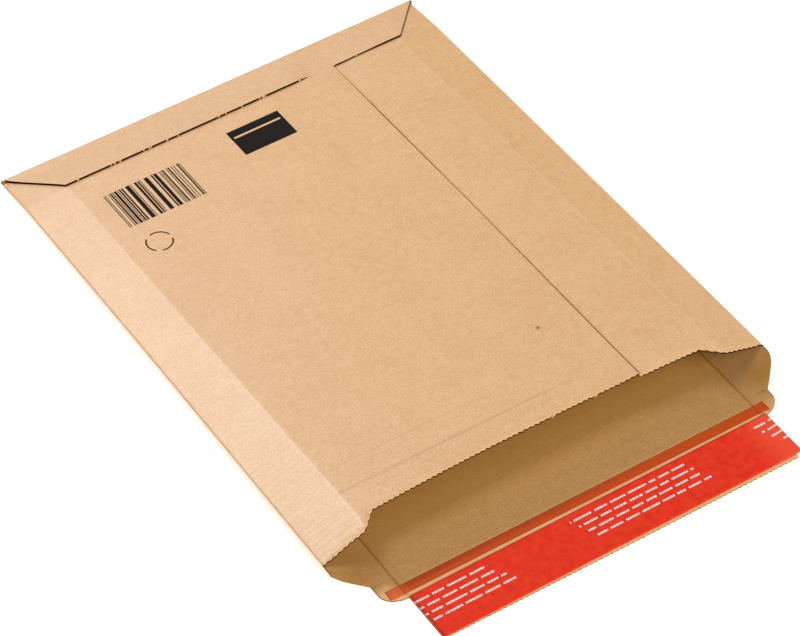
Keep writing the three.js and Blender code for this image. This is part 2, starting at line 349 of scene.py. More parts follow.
def pressed_line_group():
    group, given, made = new_group(
        "pressed_line",
        {"Place": "Vector", "At": "Float", "Half Width": "Float", "Left": "Float", "Right": "Float"},
        {"Mask": "Float"},
    )
    across, along = split(group, given["Place"])
    wander = times(group, noise(group, given["Place"], *LINE_WANDER), LINE_WANDER_REACH)
    off = maths(group, "ABSOLUTE", minus(group, along, plus(group, given["At"], wander)))
    line = minus(group, 1.0, maths(group, "DIVIDE", off, given["Half Width"]))
    line = maths(group, "MAXIMUM", line, 0.0)
    fade_in = between(group, across, given["Left"], plus(group, given["Left"], LINE_FADE_LEFT))
    fade_out = between(group, across, given["Right"], minus(group, given["Right"], LINE_FADE_RIGHT))
    group.links.new(times(group, line, times(group, fade_in, fade_out)), made["Mask"])
    return group


kraft_paper = kraft_paper_group()
washboard = washboard_group()
printed_field = printed_field_group()
pressed_line = pressed_line_group()


def field_mask(tree, place, left, right, start, end):
    inputs = {"Place": place, "Left": left, "Right": right, "Start": start, "End": end}
    return use_group(tree, printed_field, inputs)["Mask"]


def print_mask(tree, place, across, along):
    bar = maths(tree, "FLOOR", maths(tree, "DIVIDE", across, BAR_WIDTH))
    chance = add(tree, "ShaderNodeTexWhiteNoise", {"W": bar}, noise_dimensions="1D").outputs[0]
    bars = times(tree, maths(tree, "GREATER_THAN", chance, BAR_GAPS), field_mask(tree, place, *BARS))
    block = minus(tree, field_mask(tree, place, *BLOCK), field_mask(tree, place, *BLOCK_STRIPE))
    off_x = minus(tree, across, RING_PLACE[0])
    off_y = minus(tree, along, RING_PLACE[1])
    reach = maths(tree, "SQRT", plus(tree, times(tree, off_x, off_x), times(tree, off_y, off_y)))
    line = maths(tree, "ABSOLUTE", minus(tree, reach, RING_RADIUS))
    turn = times(tree, maths(tree, "ARCTAN2", off_y, off_x), RING_PARTS)
    whole = maths(tree, "GREATER_THAN", maths(tree, "COSINE", turn), RING_BREAK)
    ring = times(tree, maths(tree, "LESS_THAN", line, RING_HALF_LINE), whole)
    return maths(tree, "MAXIMUM", maths(tree, "MAXIMUM", bars, block), ring)


def kraft_outside_material():
    material, tree = new_material("kraft_outside")
    place, across, along = flat_place(tree)
    paper = use_group(tree, kraft_paper, {"Place": place, "Pale": OUTSIDE_PALE, "Deep": OUTSIDE_DEEP})
    strip = times(tree, field_mask(tree, place, *SHOWN_FLUTES), between(tree, along, *SHOWN_FLUTES_FADE))
    share = plus(tree, times(tree, strip, 1.0 - OTHER_FLUTES_SHARE), OTHER_FLUTES_SHARE)
    flutes = use_group(tree, washboard, {"Place": place, "Pitch": FLUTE_PITCH, "Depth": OUTSIDE_FLUTES})
    # Painted shade on the flute ridges, strongest on the left top strip toward the mouth.
    shade = times(tree, maths(tree, "MAXIMUM", flutes["Shade"], 0.0), FLUTE_SHADE, share)
    colour = mixed(tree, shade, paper["Colour"], FLUTE_SHADE_AND_LINE_BROWN)
    pressed = 0.0
    for at, half_width, left, right, strength in PRESSED_LINES:
        inputs = {"Place": place, "At": at, "Half Width": half_width, "Left": left, "Right": right}
        line = times(tree, use_group(tree, pressed_line, inputs)["Mask"], strength)
        pressed = maths(tree, "MAXIMUM", line, pressed)
    # Painted highlight along the outer creases and the glued flap's edge.
    crease_highlight_shade = painted(tree, "crease_light_and_shade")
    # Painted shadow in the groove right of the seam.
    gap_shadow = painted(tree, "gap")
    stain_off = add(tree, "ShaderNodeVectorMath", {0: place, 1: STAIN_PLACE}, operation="DISTANCE")
    stain = between(tree, stain_off.outputs["Value"], STAIN_RADIUS, 0.0)
    ink = print_mask(tree, place, across, along)
    for mask, most, tint in (
        (pressed, PRESSED_SHARE, FLUTE_SHADE_AND_LINE_BROWN),
        (crease_highlight_shade, CREASE_HIGHLIGHT_SHARE, CREASE_HIGHLIGHT_PALE),
        (gap_shadow, GAP_SHADOW_SHARE, SHADE_AND_STAIN_BROWN),
        (stain, STAIN_SHARE, SHADE_AND_STAIN_BROWN),
        (ink, INK_SHARE, INK),
    ):
        colour = mixed(tree, times(tree, mask, most), colour, tint)
    dull = maths(tree, "MAXIMUM", maths(tree, "MAXIMUM", ink, gap_shadow), stain)
    height = plus(tree, paper["Height"], times(tree, flutes["Height"], share))
    height = minus(tree, height, times(tree, pressed, PRESSED_DEPTH))
    return dressed(material, {
        "Base Color": colour,
        "Roughness": between(tree, dull, *OUTSIDE_ROUGHNESS),
        "Metallic": times(tree, dull, DULL_METALLIC),
        "Normal": raised(tree, height),
        "Specular IOR Level": OUTSIDE_SPECULAR,
    })


def kraft_inside_material():
    material, tree = new_material("kraft_inside")
    place, across, along = flat_place(tree)
    pouch = use_group(tree, kraft_paper, {"Place": place, "Pale": SHADED_INSIDE_PALE, "Deep": SHADED_INSIDE_DEEP})
    flap = use_group(tree, kraft_paper, {"Place": place, "Pale": FLAP_PALE, "Deep": FLAP_DEEP})
    flutes = use_group(tree, washboard, {"Place": place, "Pitch": FLUTE_PITCH, "Depth": INSIDE_FLUTES})
    # Painted light: on the left ear the flap's paler colour starts a little sooner.
    left_ear_light = times(tree, between(tree, across, *LEFT_EAR_LIGHT_FADE), LEFT_EAR_LIGHT_SHIFT)
    past_pouch_shade = between(tree, plus(tree, along, left_ear_light), *POUCH_SHADE_EDGE)
    colour = mixed(tree, past_pouch_shade, pouch["Colour"], flap["Colour"])
    # Painted shade on the gussets near the mouth.
    gusset_shade = between(tree, maths(tree, "ABSOLUTE", across), *GUSSET_FADE)
    gusset_shade = times(tree, gusset_shade, between(tree, along, *GUSSET_END), between(tree, along, *GUSSET_START))
    on_right = maths(tree, "GREATER_THAN", across, 0.0)
    # Painted over the paper: bounced light deep in the pouch, shade on the right ear, on the gussets and in
    # the inner score.
    for mask, most, tint in (
        (between(tree, along, *DEEP_POUCH_LIGHT_FADE), DEEP_POUCH_LIGHT_SHARE, DEEP_POUCH_LIGHT),
        (between(tree, across, *RIGHT_EAR_SHADE_FADE), RIGHT_EAR_SHADE_SHARE, SHADED_INSIDE_PALE),
        (gusset_shade, plus(tree, times(tree, on_right, RIGHT_GUSSET_MORE_SHADE), GUSSET_SHADE_SHARE), GUSSET_SHADE_BROWN),
        (painted(tree, "crease_light_and_shade"), SCORE_SHADE_SHARE, SCORE_SHADE_BROWN),
    ):
        colour = mixed(tree, times(tree, mask, most), colour, tint)
    return dressed(material, {
        "Base Color": colour,
        "Normal": raised(tree, plus(tree, pouch["Height"], flutes["Height"])),
        "Roughness": INSIDE_ROUGHNESS,
        "Specular IOR Level": INSIDE_SPECULAR,
    })


def edge_material(name, dark, pale, scale, roughness):
    material, tree = new_material(name)
    fuzz = noise(tree, flat_place(tree)[0], scale, EDGE_DETAIL)
    return dressed(material, {
        "Base Color": mixed(tree, between(tree, fuzz, *EDGE_TONES), dark, pale),
        "Normal": raised(tree, times(tree, fuzz, EDGE_HEIGHT)),
        "Roughness": roughness,
        "Specular IOR Level": 0.0,
    })


kraft_outside = kraft_outside_material()
kraft_inside = kraft_inside_material()
cut_paper = edge_material("cut_paper", CUT_PAPER_DARK, CUT_PAPER, scale=900.0, roughness=0.9)
# The cut edge's core, painted dark as shade.
shaded_board_core = edge_material("shaded_board_core", CORE_SHADE_DARK, CORE_SHADE_BROWN, scale=600.0, roughness=0.95)
pressed_core = edge_material("pressed_core", CUT_PAPER_DARK, CUT_PAPER, scale=700.0, roughness=0.95)

# Board blank: one sheet of thin corrugated board, die-cut in the flat with wave-cut edges, then creased.
# It is folded into a base, two gussets and two lapped top panels, with a flap glued over the closed end.
# Sizes are in millimetres, across from the middle of the base and along from the closed end.
MM = 0.001
BOARD = 1.5
LINER = 0.16
PINCH = 0.3
GLUE_BITE = 0.05
HALF_PANEL = 94.0
GUSSET = 23.5
SEAM = 57.0
LAP = 20.0
BOTTOM_FLAP = 25.4
BOTTOM_FLAP_SHORT = 1.1
FLAP_PRESS = 0.35
LEFT_CORNER, LEFT_FLARE = 94.45, 0.4
RIGHT_CORNER, RIGHT_FLARE = 95.85, 1.15
END_ASKEW = -0.0074
MOUTH = 293.5
MOUTH_RECESS = 9.8
# A mouth edge is given by its corner, level and slant, an ear by its reach, root, start and rounding.
RIGHT_MOUTH = (86.6, 0.25, 0.0)
LEFT_MOUTH = (86.9, -0.27, 1.4)
FOLD_END = 300.6
LEFT_ROUNDING = 1.0
RIGHT_ROUNDING = 4.0
FLAP_CREASE = 310.75
EAR_SLOPE = 0.045
RIGHT_EAR = (106.1, 312.0, 315.4, 8.8)
LEFT_EAR = (104.4, 310.4, 316.0, 8.0)
FLAP_HALF = 93.45
FLAP_END = 351.55
FLAP_ASKEW = 0.003
FLAP_BOW = 0.28
LENGTH = 352.5
LIFT_AT_BOTTOM_FLAP = 7.5
LIFT_AT_MOUTH = 16.5
CORNER_STRIP = 2.0
FOLD_RADIUS = 0.5
FOLD_PINCH = 0.40
WAVE_HEIGHT = 0.60
FLAP_WAVE_HEIGHT = 0.36
MOUTH_SPAN = 241.0
MOUTH_WAVES = 84
MOUTH_WAVE = MOUTH_SPAN / MOUTH_WAVES
FLAP_WAVES = 34
FLAP_WAVE = FLAP_HALF / FLAP_WAVES

# What the presses and the hand did to this one. Three numbers are an amount and the start and end of its
# rise, two are a start and an end, or a slope and what is taken off it.
END_TURN = 1.2
PANEL_TURN = 5.0
RIGHT_WIDENING = (0.9, 0.75)
LEFT_WIDENING = (1.5, 0.80)
LEFT_SPREAD = (1.5, 110.0, 330.0)
PINCH_ACROSS = (6.0, 0.3)
PINCH_ALONG = (322.0, 312.0)
SEAM_ASKEW = (0.9, 2.3)
SEAM_AT_MOUTH = (0.2, 283.0, 255.0)
SEAM_AT_END = (0.85, 170.0, 20.0)
SEAM_THIN = 0.46
SEAM_THIN_REACH = (8.0, 0.5)
LAP_SAG = (0.30, 14.0, 1.0)
LAP_UNDER = (0.07, 0.0, -6.0)
LAP_GROOVE = (1.08, 0.65, 0.2)
GROOVE_ALONG = (283.2, 276.0)
END_SAG = (0.60, 32.0, 1.0)
END_SAG_ALONG = (75.0, 28.0)
END_SAG_START = (8.0, 20.0)
OVER_LAP = (35.0, 45.0)
PAST_LAP = (92.0, 57.0)
SQUEEZE_ALONG = (13.0, 2.5)
SQUEEZED = 0.04
FLAP_PRESS_FULL = 9.0
BED_STEP = (0.4, 1.2)
BED_FULL = 18.0
FREE_RIGHT = (0.25, -30.0, 30.0)
FREE_OVER_LAP = (0.50, 33.0, 46.0)
LAID_SLACK = 0.1
EAR_SETTLE = (326.0, 313.0)
END_ASKEW_RUN = (160.0, 25.0)
PANEL_BOW = 0.10
BOW_ACROSS = (0.031, 0.7)
BOW_ALONG = (0.027, 0.4)
BOW_SKEW = (0.6, 0.057, 0.041)
BOW_START = (30.0, 60.0)
RIGHT_RUN_OUT = (0.05, 2.35)
LEFT_BOW = (3.25e-4, 1.34e-4, 1.3)
LEFT_BOW_MIDDLE = 5.0
MOUTH_TURNS = (0.6, 2.0)
MOUTH_SLANT = (99.0, 117.0)
FLAP_BOW_RUN = (60.0, 48.0)
CUT_BACK = 2.8
CUT_BACK_REACH = (0.1, 0.9)
CREASE_START = 0.5
CREASE_REACH = 1.3
CREASE_MIDDLE = 3
CREASE_STEPS = ((-1.0, 1), (-0.5, 2), (0.5, 2), (1.0, 1))

HALF_BOARD = BOARD / 2
STRIP = GUSSET - FOLD_RADIUS * math.pi / 2
CORNER = HALF_PANEL + STRIP
FOLD_MIDDLE = HALF_PANEL + GUSSET
ARC = FOLD_RADIUS * math.pi
ARC_END = CORNER + ARC
PANEL_ZERO = ARC_END + CORNER
RIGHT_EDGE = PANEL_ZERO - (SEAM - LAP)
END_HEIGHT = 2 * BOARD + PINCH
END_RADIUS = (END_HEIGHT - GLUE_BITE) / 2
END_START = END_RADIUS + HALF_BOARD
END_FLAT = END_START + BOARD
END_ARC = END_RADIUS * math.pi
END_TIP = END_START - END_ARC / 2
LAID_FLAT = END_START - END_ARC - (END_FLAT - END_START)
LAID_END = END_START - END_ARC - (BOTTOM_FLAP - BOTTOM_FLAP_SHORT - END_START)
END_SLOPE = (LIFT_AT_BOTTOM_FLAP - END_HEIGHT) / (BOTTOM_FLAP - END_FLAT)
PANEL_SLOPE = (LIFT_AT_MOUTH - LIFT_AT_BOTTOM_FLAP) / (MOUTH - BOTTOM_FLAP)


def ease(value, low, high):
    share = min(max((value - low) / (high - low), 0.0), 1.0)
    return share * share * (3 - 2 * share)


def swell(value, rise):
    amount, low, high = rise
    return amount * ease(value, low, high)


def rounded_turn(u, at, reach):
    if u <= at - reach:
        return 0.0
    if u >= at + reach:
        return u - at
    return (u - at + reach) ** 2 / (4 * reach)


def panel_height(u):
    rise = END_SLOPE * rounded_turn(u, END_FLAT, END_TURN)
    return END_HEIGHT + rise + (PANEL_SLOPE - END_SLOPE) * rounded_turn(u, BOTTOM_FLAP, PANEL_TURN)


def spread_of_top(u):
    return panel_height(u) - BOARD


def spread_of_base(u):
    if u <= MOUTH:
        return spread_of_top(u)
    share = min(max((u - FOLD_END) / (FLAP_CREASE - FOLD_END), 0.0), 1.0)
    last = 2 * (FOLD_RADIUS + EAR_SLOPE * STRIP)
    return spread_of_top(MOUTH) + (last - spread_of_top(MOUTH)) * share


def top_crease(u):
    share = min(max((u - END_FLAT) / (BOTTOM_FLAP - END_FLAT), 0.0), 1.0)
    return (CORNER - CORNER_STRIP) + (HALF_PANEL - CORNER + CORNER_STRIP) * share


# The side folds run a little askew: the gussets widen toward the mouth, more on the left.
def gusset_strip(side, u):
    most, less = LEFT_WIDENING if side < 0 else RIGHT_WIDENING
    wider = most * u / MOUTH - less
    if side < 0:
        wider += swell(u, LEFT_SPREAD)
    return STRIP + wider * ease(u, FLAP_CREASE, FOLD_END)


def gusset_section(spread, crease, strip):
    rise = spread / 2
    centre = HALF_PANEL + math.sqrt(strip ** 2 + FOLD_RADIUS ** 2 - rise ** 2)
    slopes = []
    for place in (crease, HALF_PANEL):
        run = centre - place
        slopes.append(math.atan2(rise, run) - math.asin(FOLD_RADIUS / math.hypot(run, rise)))
    return centre, HALF_BOARD + rise, math.pi / 2 - slopes[0], slopes[1] - math.pi / 2


# The press thins the board at a side fold and raises its underside, so the top strip runs flat to the fold.
def fold_pinch(across, along):
    off = abs(abs(across) - FOLD_MIDDLE)
    return FOLD_PINCH * ease(off, *PINCH_ACROSS) * ease(along, *PINCH_ALONG)


# The left panel's edge lies a little askew over the right panel, thinned by the glue press.
def seam_edge(u):
    askew = SEAM_ASKEW[0] - SEAM_ASKEW[1] * (u - BOTTOM_FLAP) / (MOUTH - BOTTOM_FLAP)
    return SEAM + askew - swell(u, SEAM_AT_MOUTH) - swell(u, SEAM_AT_END)


def seam_half(x, u):
    start, full = (seam_edge(u) - reach for reach in SEAM_THIN_REACH)
    return HALF_BOARD - SEAM_THIN * ease(x, start, full)


def lap_dip(x, u):
    past = x - seam_edge(u)
    groove = swell(past, LAP_GROOVE) * ease(u, *GROOVE_ALONG)
    end_sag = swell(past, END_SAG) * ease(u, *END_SAG_ALONG) * ease(u, *END_SAG_START)
    return swell(past, LAP_SAG) + groove + swell(past, LAP_UNDER) + end_sag


# The glued flap is pressed into the lap, where three layers of board meet, and stands up past the seam.
def flap_top(x, u):
    start, full = (BOTTOM_FLAP - reach for reach in SQUEEZE_ALONG)
    squeeze = ease(x, *OVER_LAP) * ease(x, *PAST_LAP) * ease(u, start, full)
    thick = BOARD - GLUE_BITE - FLAP_PRESS * ease(u, END_START, FLAP_PRESS_FULL)
    return panel_height(u) + thick * (1 - squeeze) + SQUEEZED * squeeze


def flap_bed(x, u):
    past_seam = ease(x, seam_edge(u) - BED_STEP[0], seam_edge(u) + BED_STEP[1])
    return panel_height(u) - GLUE_BITE - lap_dip(x, u) * past_seam * ease(u, END_FLAT, BED_FULL)


# The glued flap's free edge, a little shorter on the right and over the lap.
def laid_free(x):
    return LAID_END + swell(x, FREE_RIGHT) + swell(x, FREE_OVER_LAP) * ease(x, *PAST_LAP)


# Half the glued flap's width: it flares round the fold to the side folds, then runs in to its free edge.
def laid_side(side, along):
    free, flare = (RIGHT_CORNER, RIGHT_FLARE) if side > 0 else (LEFT_CORNER, LEFT_FLARE)
    tip = CORNER + flare * ease(along, END_START, END_TIP)
    return tip + (free - tip) * max((END_TIP - along) / (END_TIP - LAID_END), 0.0)


def on_laid_flap(across, along):
    return along < END_START and abs(across) <= laid_side(across, along) + LAID_SLACK


def carried(across, along):
    side = math.copysign(1.0, across)
    reach = abs(across)
    if on_laid_flap(across, along):
        turn = (END_START - along) / END_RADIUS
        if turn < math.pi:
            u = END_START - END_RADIUS * math.sin(turn)
            root_x, root_z = carried(side * min(reach, CORNER), END_START)[::2]
            reach += (abs(root_x) - min(reach, CORNER)) * ease(along, END_TIP, END_START)
            z = root_z + (HALF_BOARD + 2 * END_RADIUS - root_z) * (1 - math.cos(turn)) / 2
        else:
            u = END_START + (END_START - along - END_ARC)
            z = (flap_top(across, u) + flap_bed(across, u)) / 2
        return side * reach, u, z
    if along >= FLAP_CREASE or reach <= HALF_PANEL:
        rise = EAR_SLOPE * max(reach - HALF_PANEL, 0.0) * ease(along, *EAR_SETTLE)
        return side * reach, along, HALF_BOARD + rise
    if reach <= ARC_END:
        spread = spread_of_base(along) if reach <= FOLD_MIDDLE else spread_of_top(along)
        strip = gusset_strip(side, along)
        centre, height, first, last = gusset_section(spread, top_crease(along), strip)
        angle = last + (first - last) * max(reach - CORNER, 0.0) / ARC
        x = centre + FOLD_RADIUS * math.cos(angle)
        z = height + FOLD_RADIUS * math.sin(angle)
        if reach < CORNER:
            share = (reach - HALF_PANEL) / STRIP
            x = HALF_PANEL + (x - HALF_PANEL) * share
            z = HALF_BOARD + (z - HALF_BOARD) * share
        return side * x, along, z + fold_pinch(across, along)
    crease = top_crease(along)
    strip_end = PANEL_ZERO - crease
    if reach <= strip_end:
        strip = gusset_strip(side, along)
        centre, height, first, last = gusset_section(spread_of_top(along), crease, strip)
        share = (reach - ARC_END) / (strip_end - ARC_END)
        x = centre + FOLD_RADIUS * math.cos(first)
        z = height + FOLD_RADIUS * math.sin(first)
        x = x + (crease - x) * share
        z = z + (panel_height(along) - HALF_BOARD - z) * share
        return side * x, along, z + fold_pinch(across, along)
    x = PANEL_ZERO - reach
    if side > 0:
        return x, along, panel_height(along) - HALF_BOARD - lap_dip(x, along)
    return -x, along, panel_height(along) - seam_half(-x, along)


# Creases are rounded over the width of the scoring rule, and panels are never quite flat.
def placed(across, along):
    reach = abs(across)
    point = np.array(carried(across, along))
    if along > END_START + CREASE_START:
        nearest = min(abs(reach - HALF_PANEL), abs(reach - PANEL_ZERO + top_crease(along)))
        if nearest < CREASE_REACH:
            beside = sum(np.array(carried(across + gap, along)) * part for gap, part in CREASE_STEPS)
            point = point * CREASE_MIDDLE + beside
            point = point / (CREASE_MIDDLE + sum(part for gap, part in CREASE_STEPS))
    if along > BOTTOM_FLAP and reach > ARC_END:
        inland = ease(reach, ARC_END, ARC_END + BOW_START[0]) * ease(along, BOTTOM_FLAP, BOW_START[1])
        bow = math.sin(across * BOW_ACROSS[0] + BOW_ACROSS[1])
        bow *= math.sin(along * BOW_ALONG[0] + BOW_ALONG[1])
        bow += BOW_SKEW[0] * math.sin(across * BOW_SKEW[1] - along * BOW_SKEW[2])
        point[2] += PANEL_BOW * inland * bow
    point[1] += END_ASKEW * point[0] * ease(point[1], *END_ASKEW_RUN)
    return point * (1, -1, 1) + (0, LENGTH / 2, 0)


def board_frame(across, along):
    step = 0.04
    by_across = placed(across + step, along) - placed(across - step, along)
    by_along = placed(across, along + step) - placed(across, along - step)
    facing = np.cross(by_across, by_along)
    return (placed(across, along), by_across / np.linalg.norm(by_across),
            by_along / np.linalg.norm(by_along), facing / np.linalg.norm(facing))


# The left panel's mouth edge is bowed and the right one's runs out to its corner, both with a step out
# to the gusset.
def mouth_edge(x, side):
    corner, level, slant = RIGHT_MOUTH if side > 0 else LEFT_MOUTH
    inner = min(x, corner)
    if side > 0:
        bow = RIGHT_RUN_OUT[0] * inner - RIGHT_RUN_OUT[1]
    else:
        outer_bow, inner_bow, lift = LEFT_BOW
        curve = outer_bow if inner > LEFT_BOW_MIDDLE else inner_bow
        bow = curve * (inner - LEFT_BOW_MIDDLE) ** 2 - lift
    outer_corner = corner + MOUTH_RECESS + level - bow
    rise = bow + rounded_turn(x, corner, MOUTH_TURNS[0]) - rounded_turn(x, outer_corner, MOUTH_TURNS[1])
    rise += slant * ease(x, *MOUTH_SLANT)
    wave = WAVE_HEIGHT / 2 * math.cos(math.tau * (x + MOUTH_SPAN / 2) / MOUTH_WAVE)
    return MOUTH - MOUTH_RECESS + rise - wave


def flap_edge(x):
    wave = FLAP_WAVE_HEIGHT / 2 * math.cos(math.tau * (x + FLAP_HALF) / FLAP_WAVE)
    bow = FLAP_BOW * math.sin((x + FLAP_BOW_RUN[0]) / FLAP_BOW_RUN[1])
    return FLAP_END + FLAP_ASKEW * x + bow - wave


def straight_run(start, end, step):
    count = max(int(math.dist(start, end) / step), 1)
    return [tuple(np.array(start) + (np.array(end) - start) * k / count) for k in range(count)]


# Columns and rows of the flat cut: wide apart on the panels, close together at creases and folds.
FOLD_STEPS = 8
END_STEPS = 10
WAVE_STEPS = 8
ROUND_STEPS = 8
EAR_STEPS = 24
EAR_SIDE_STEP = 0.4
TAIL_STEP = 0.8
SLANT_STEP = 0.35
FLAP_SIDE_STEP = 1.5
LAID_STEPS = 160
LAID_SIDE_STEP = -0.85
LAID_SIDE_STOP = 0.6
TURN_SHARE = 0.75
SEAM_STOP = 2.0
POINT_ROOM = 0.12
rule = (0.0, 0.25, 0.5, 0.9, 1.5)
crease_columns = [HALF_PANEL + sign * gap for gap in rule for sign in (1, -1)]
crease_columns += [PANEL_ZERO - HALF_PANEL + sign * gap for gap in rule for sign in (1, -1)]
fold_columns = [CORNER + ARC * k / FOLD_STEPS for k in range(FOLD_STEPS + 1)]
press_columns = [FOLD_MIDDLE + sign * gap for gap in (1.2, 2.0, 3.0, 4.3, 6.0) for sign in (1, -1)]
base_columns = [8.0 * k for k in range(12)] + [100.0, 106.0, 129.0, 135.0] + press_columns
lap_columns = [149.0, 156.0, 163.0, 167.0, 171.0, 174.0, 182.5, 186.0, 192.0]
seam_gaps = (-1.2, -0.2, 0.0, 0.2, 0.35, 0.5, 0.65, 0.85, 1.15, 1.7, 2.6)
seam_columns = [149.0 + 8 * k for k in range(17)] + [282.5, 285.0, 287.5]
right_columns = sorted(set(base_columns + crease_columns + fold_columns + lap_columns))
left_columns = sorted(set(base_columns + crease_columns + fold_columns + seam_columns))
columns = sorted({-c for c in left_columns} | set(right_columns))
end_rows = [END_START - END_ARC * k / END_STEPS for k in range(1, END_STEPS + 1)]
laid_rows = [LAID_FLAT] + [LAID_END + gap for gap in (1.0, 2.5, 4.5, 7.0, 10.0, 13.0, 16.0, 19.0)]
body_rows = [3.0, 4.0, 5.5, 8.0, 11.0, 14.5, 18.0, 21.5, 24.0, 26.5, 30.0, 34.0]
body_rows += [40.0 + 8 * k for k in range(31)] + [286.0, 290.0, 294.0, 298.0, 302.0, 305.5, 308.0]
crease_rows = [FLAP_CREASE + 0.2 * k for k in range(-8, 9)]
flap_rows = [313.5, 315.0, 317.0, 319.0, 321.0, 323.0, 325.0, 328.0, 333.0, 338.0, 343.0, 347.5, 350.0]
rows = sorted(end_rows + laid_rows + body_rows + crease_rows + flap_rows)


# Under the lap the right panel's mouth edge is cut back, so the left panel alone makes the edge there.
def cut_back(column, end):
    if end != RIGHT_EDGE:
        return 0.0
    edge = seam_edge(MOUTH)
    return CUT_BACK * ease(PANEL_ZERO - column, edge + CUT_BACK_REACH[0], edge - CUT_BACK_REACH[1])


def mouth_run(start, end, side):
    fine = list(np.arange(start, end, MOUTH_WAVE / WAVE_STEPS)) + [end]
    wanted = [c for c in fold_columns if start < c < end]
    if end == RIGHT_EDGE:
        wanted += [PANEL_ZERO - seam_edge(MOUTH - MOUTH_RECESS) - gap for gap in seam_gaps]
    fine = [c for c in fine if min(abs(c - w) for w in wanted) > POINT_ROOM or c in (start, end)]
    return [(c, mouth_edge(PANEL_ZERO - c, side) - cut_back(c, end)) for c in sorted(fine + wanted)]


def ear_run(reach, root, start, rounding):
    points = straight_run((reach, root), (reach, start), EAR_SIDE_STEP)
    for step in range(EAR_STEPS + 1):
        angle = math.pi / 2 * step / EAR_STEPS
        x = FLAP_HALF + (reach - FLAP_HALF) * math.cos(angle)
        points.append((x, start + rounding * math.sin(angle)))
    return points


# One side of the cut, from the closed end round the lap and the mouth to the end of the flap.
def side_of_cut(side, side_columns, edge, ear_cut, rounding):
    last = edge(MOUTH - MOUTH_RECESS)
    closed = [(c, END_START) for c in side_columns if CORNER < c < edge(END_START)]
    seam_end = MOUTH - MOUTH_RECESS - SEAM_STOP
    seam = [(edge(r), r) for r in [END_START] + rows if END_START <= r < seam_end]
    mouth = mouth_run(FOLD_MIDDLE, last, side)[::-1]
    corner = np.array((FOLD_MIDDLE, FOLD_END))
    first = corner - (0.0, rounding)
    second = corner + (ear_cut[:2] - corner) * rounding / math.dist(ear_cut[:2], corner)
    tail = straight_run(mouth[-1], first, TAIL_STEP)[1:]
    for step in range(ROUND_STEPS):
        share = step / ROUND_STEPS
        point = first * (1 - share) ** 2 + corner * 2 * share * (1 - share) + second * share ** 2
        tail.append(tuple(point))
    slant = straight_run(second, ear_cut[:2], SLANT_STEP)
    ear = ear_run(*ear_cut)
    flap_corner = (FLAP_HALF, flap_edge(FLAP_HALF))
    flap_side = straight_run(ear[-1], flap_corner, FLAP_SIDE_STEP)[1:]
    zones = ["closed"] * len(closed) + ["seam"] * len(seam) + ["mouth"] * len(mouth)
    zones += ["front"] * (len(tail) + len(slant) + len(ear) + len(flap_side))
    return closed + seam + mouth + tail + slant + ear + flap_side, zones


def right_side(u):
    return RIGHT_EDGE


def left_side(u):
    return PANEL_ZERO + seam_edge(u)


laid_levels = [END_START] + end_rows
laid_levels += list(np.arange(LAID_FLAT, LAID_END + LAID_SIDE_STOP, LAID_SIDE_STEP))
right_cut, right_zones = side_of_cut(1, right_columns, right_side, RIGHT_EAR, RIGHT_ROUNDING)
left_cut, left_zones = side_of_cut(-1, left_columns, left_side, LEFT_EAR, LEFT_ROUNDING)
flap_columns = np.linspace(FLAP_HALF, -FLAP_HALF, 2 * FLAP_WAVES * WAVE_STEPS + 1)
flap_cut = [(x, flap_edge(x)) for x in flap_columns]
laid_cut = [(-laid_side(-1, r), r) for r in laid_levels]
laid_cut += [(x, laid_free(x)) for x in np.linspace(-LEFT_CORNER, RIGHT_CORNER, LAID_STEPS)]
laid_cut += [(laid_side(1, r), r) for r in reversed(laid_levels)]
outline = np.array(right_cut + flap_cut + [(-c, a) for c, a in reversed(left_cut)] + laid_cut)
turn_end = END_START - END_ARC * TURN_SHARE
laid_zones = ["turn" if along > turn_end else "laid" for across, along in laid_cut]
zones = right_zones + ["front"] * len(flap_cut) + left_zones[::-1] + laid_zones


# The way into the board at each point of a closed cut, evened over the waves.
EVENED = 2.6


def way_in(points):
    steps = np.linalg.norm(np.roll(points, -1, axis=0) - points, axis=1)
    run = np.concatenate(([0.0], np.cumsum(steps)[:-1]))
    length = steps.sum()
    lap_run = np.concatenate((run - length, run, run + length))
    lap_points = np.concatenate((points, points, points))
    ends = []
    for reach in (EVENED, -EVENED):
        axes = [np.interp(run + reach, lap_run, lap_points[:, axis]) for axis in (0, 1)]
        ends.append(np.stack(axes, axis=1))
    tangent = (ends[0] - ends[1]) / np.linalg.norm(ends[0] - ends[1], axis=1)[:, None]
    return np.stack((-tangent[:, 1], tangent[:, 0]), axis=1), run, steps


# Distance of points from the cut, the nearest point of the cut, and whether they lie inside it.
def against_cut(points):
    ends = np.roll(outline, -1, axis=0)
    inside = np.zeros(len(points), bool)
    gap = np.full(len(points), 1e9)
    nearest = np.zeros(len(points), int)
    for k, (start, end) in enumerate(zip(outline, ends)):
        if start[1] != end[1]:
            crosses = (start[1] > points[:, 1]) != (end[1] > points[:, 1])
            at = start[0] + (points[:, 1] - start[1]) * (end[0] - start[0]) / (end[1] - start[1])
            inside ^= crosses & (points[:, 0] < at)
        run = end - start
        share = np.clip(((points - start) @ run) / max(run @ run, 1e-12), 0, 1)
        distance = np.linalg.norm(points - (start + share[:, None] * run), axis=1)
        nearest = np.where(distance < gap, k, nearest)
        gap = np.minimum(gap, distance)
    return inside, gap, nearest


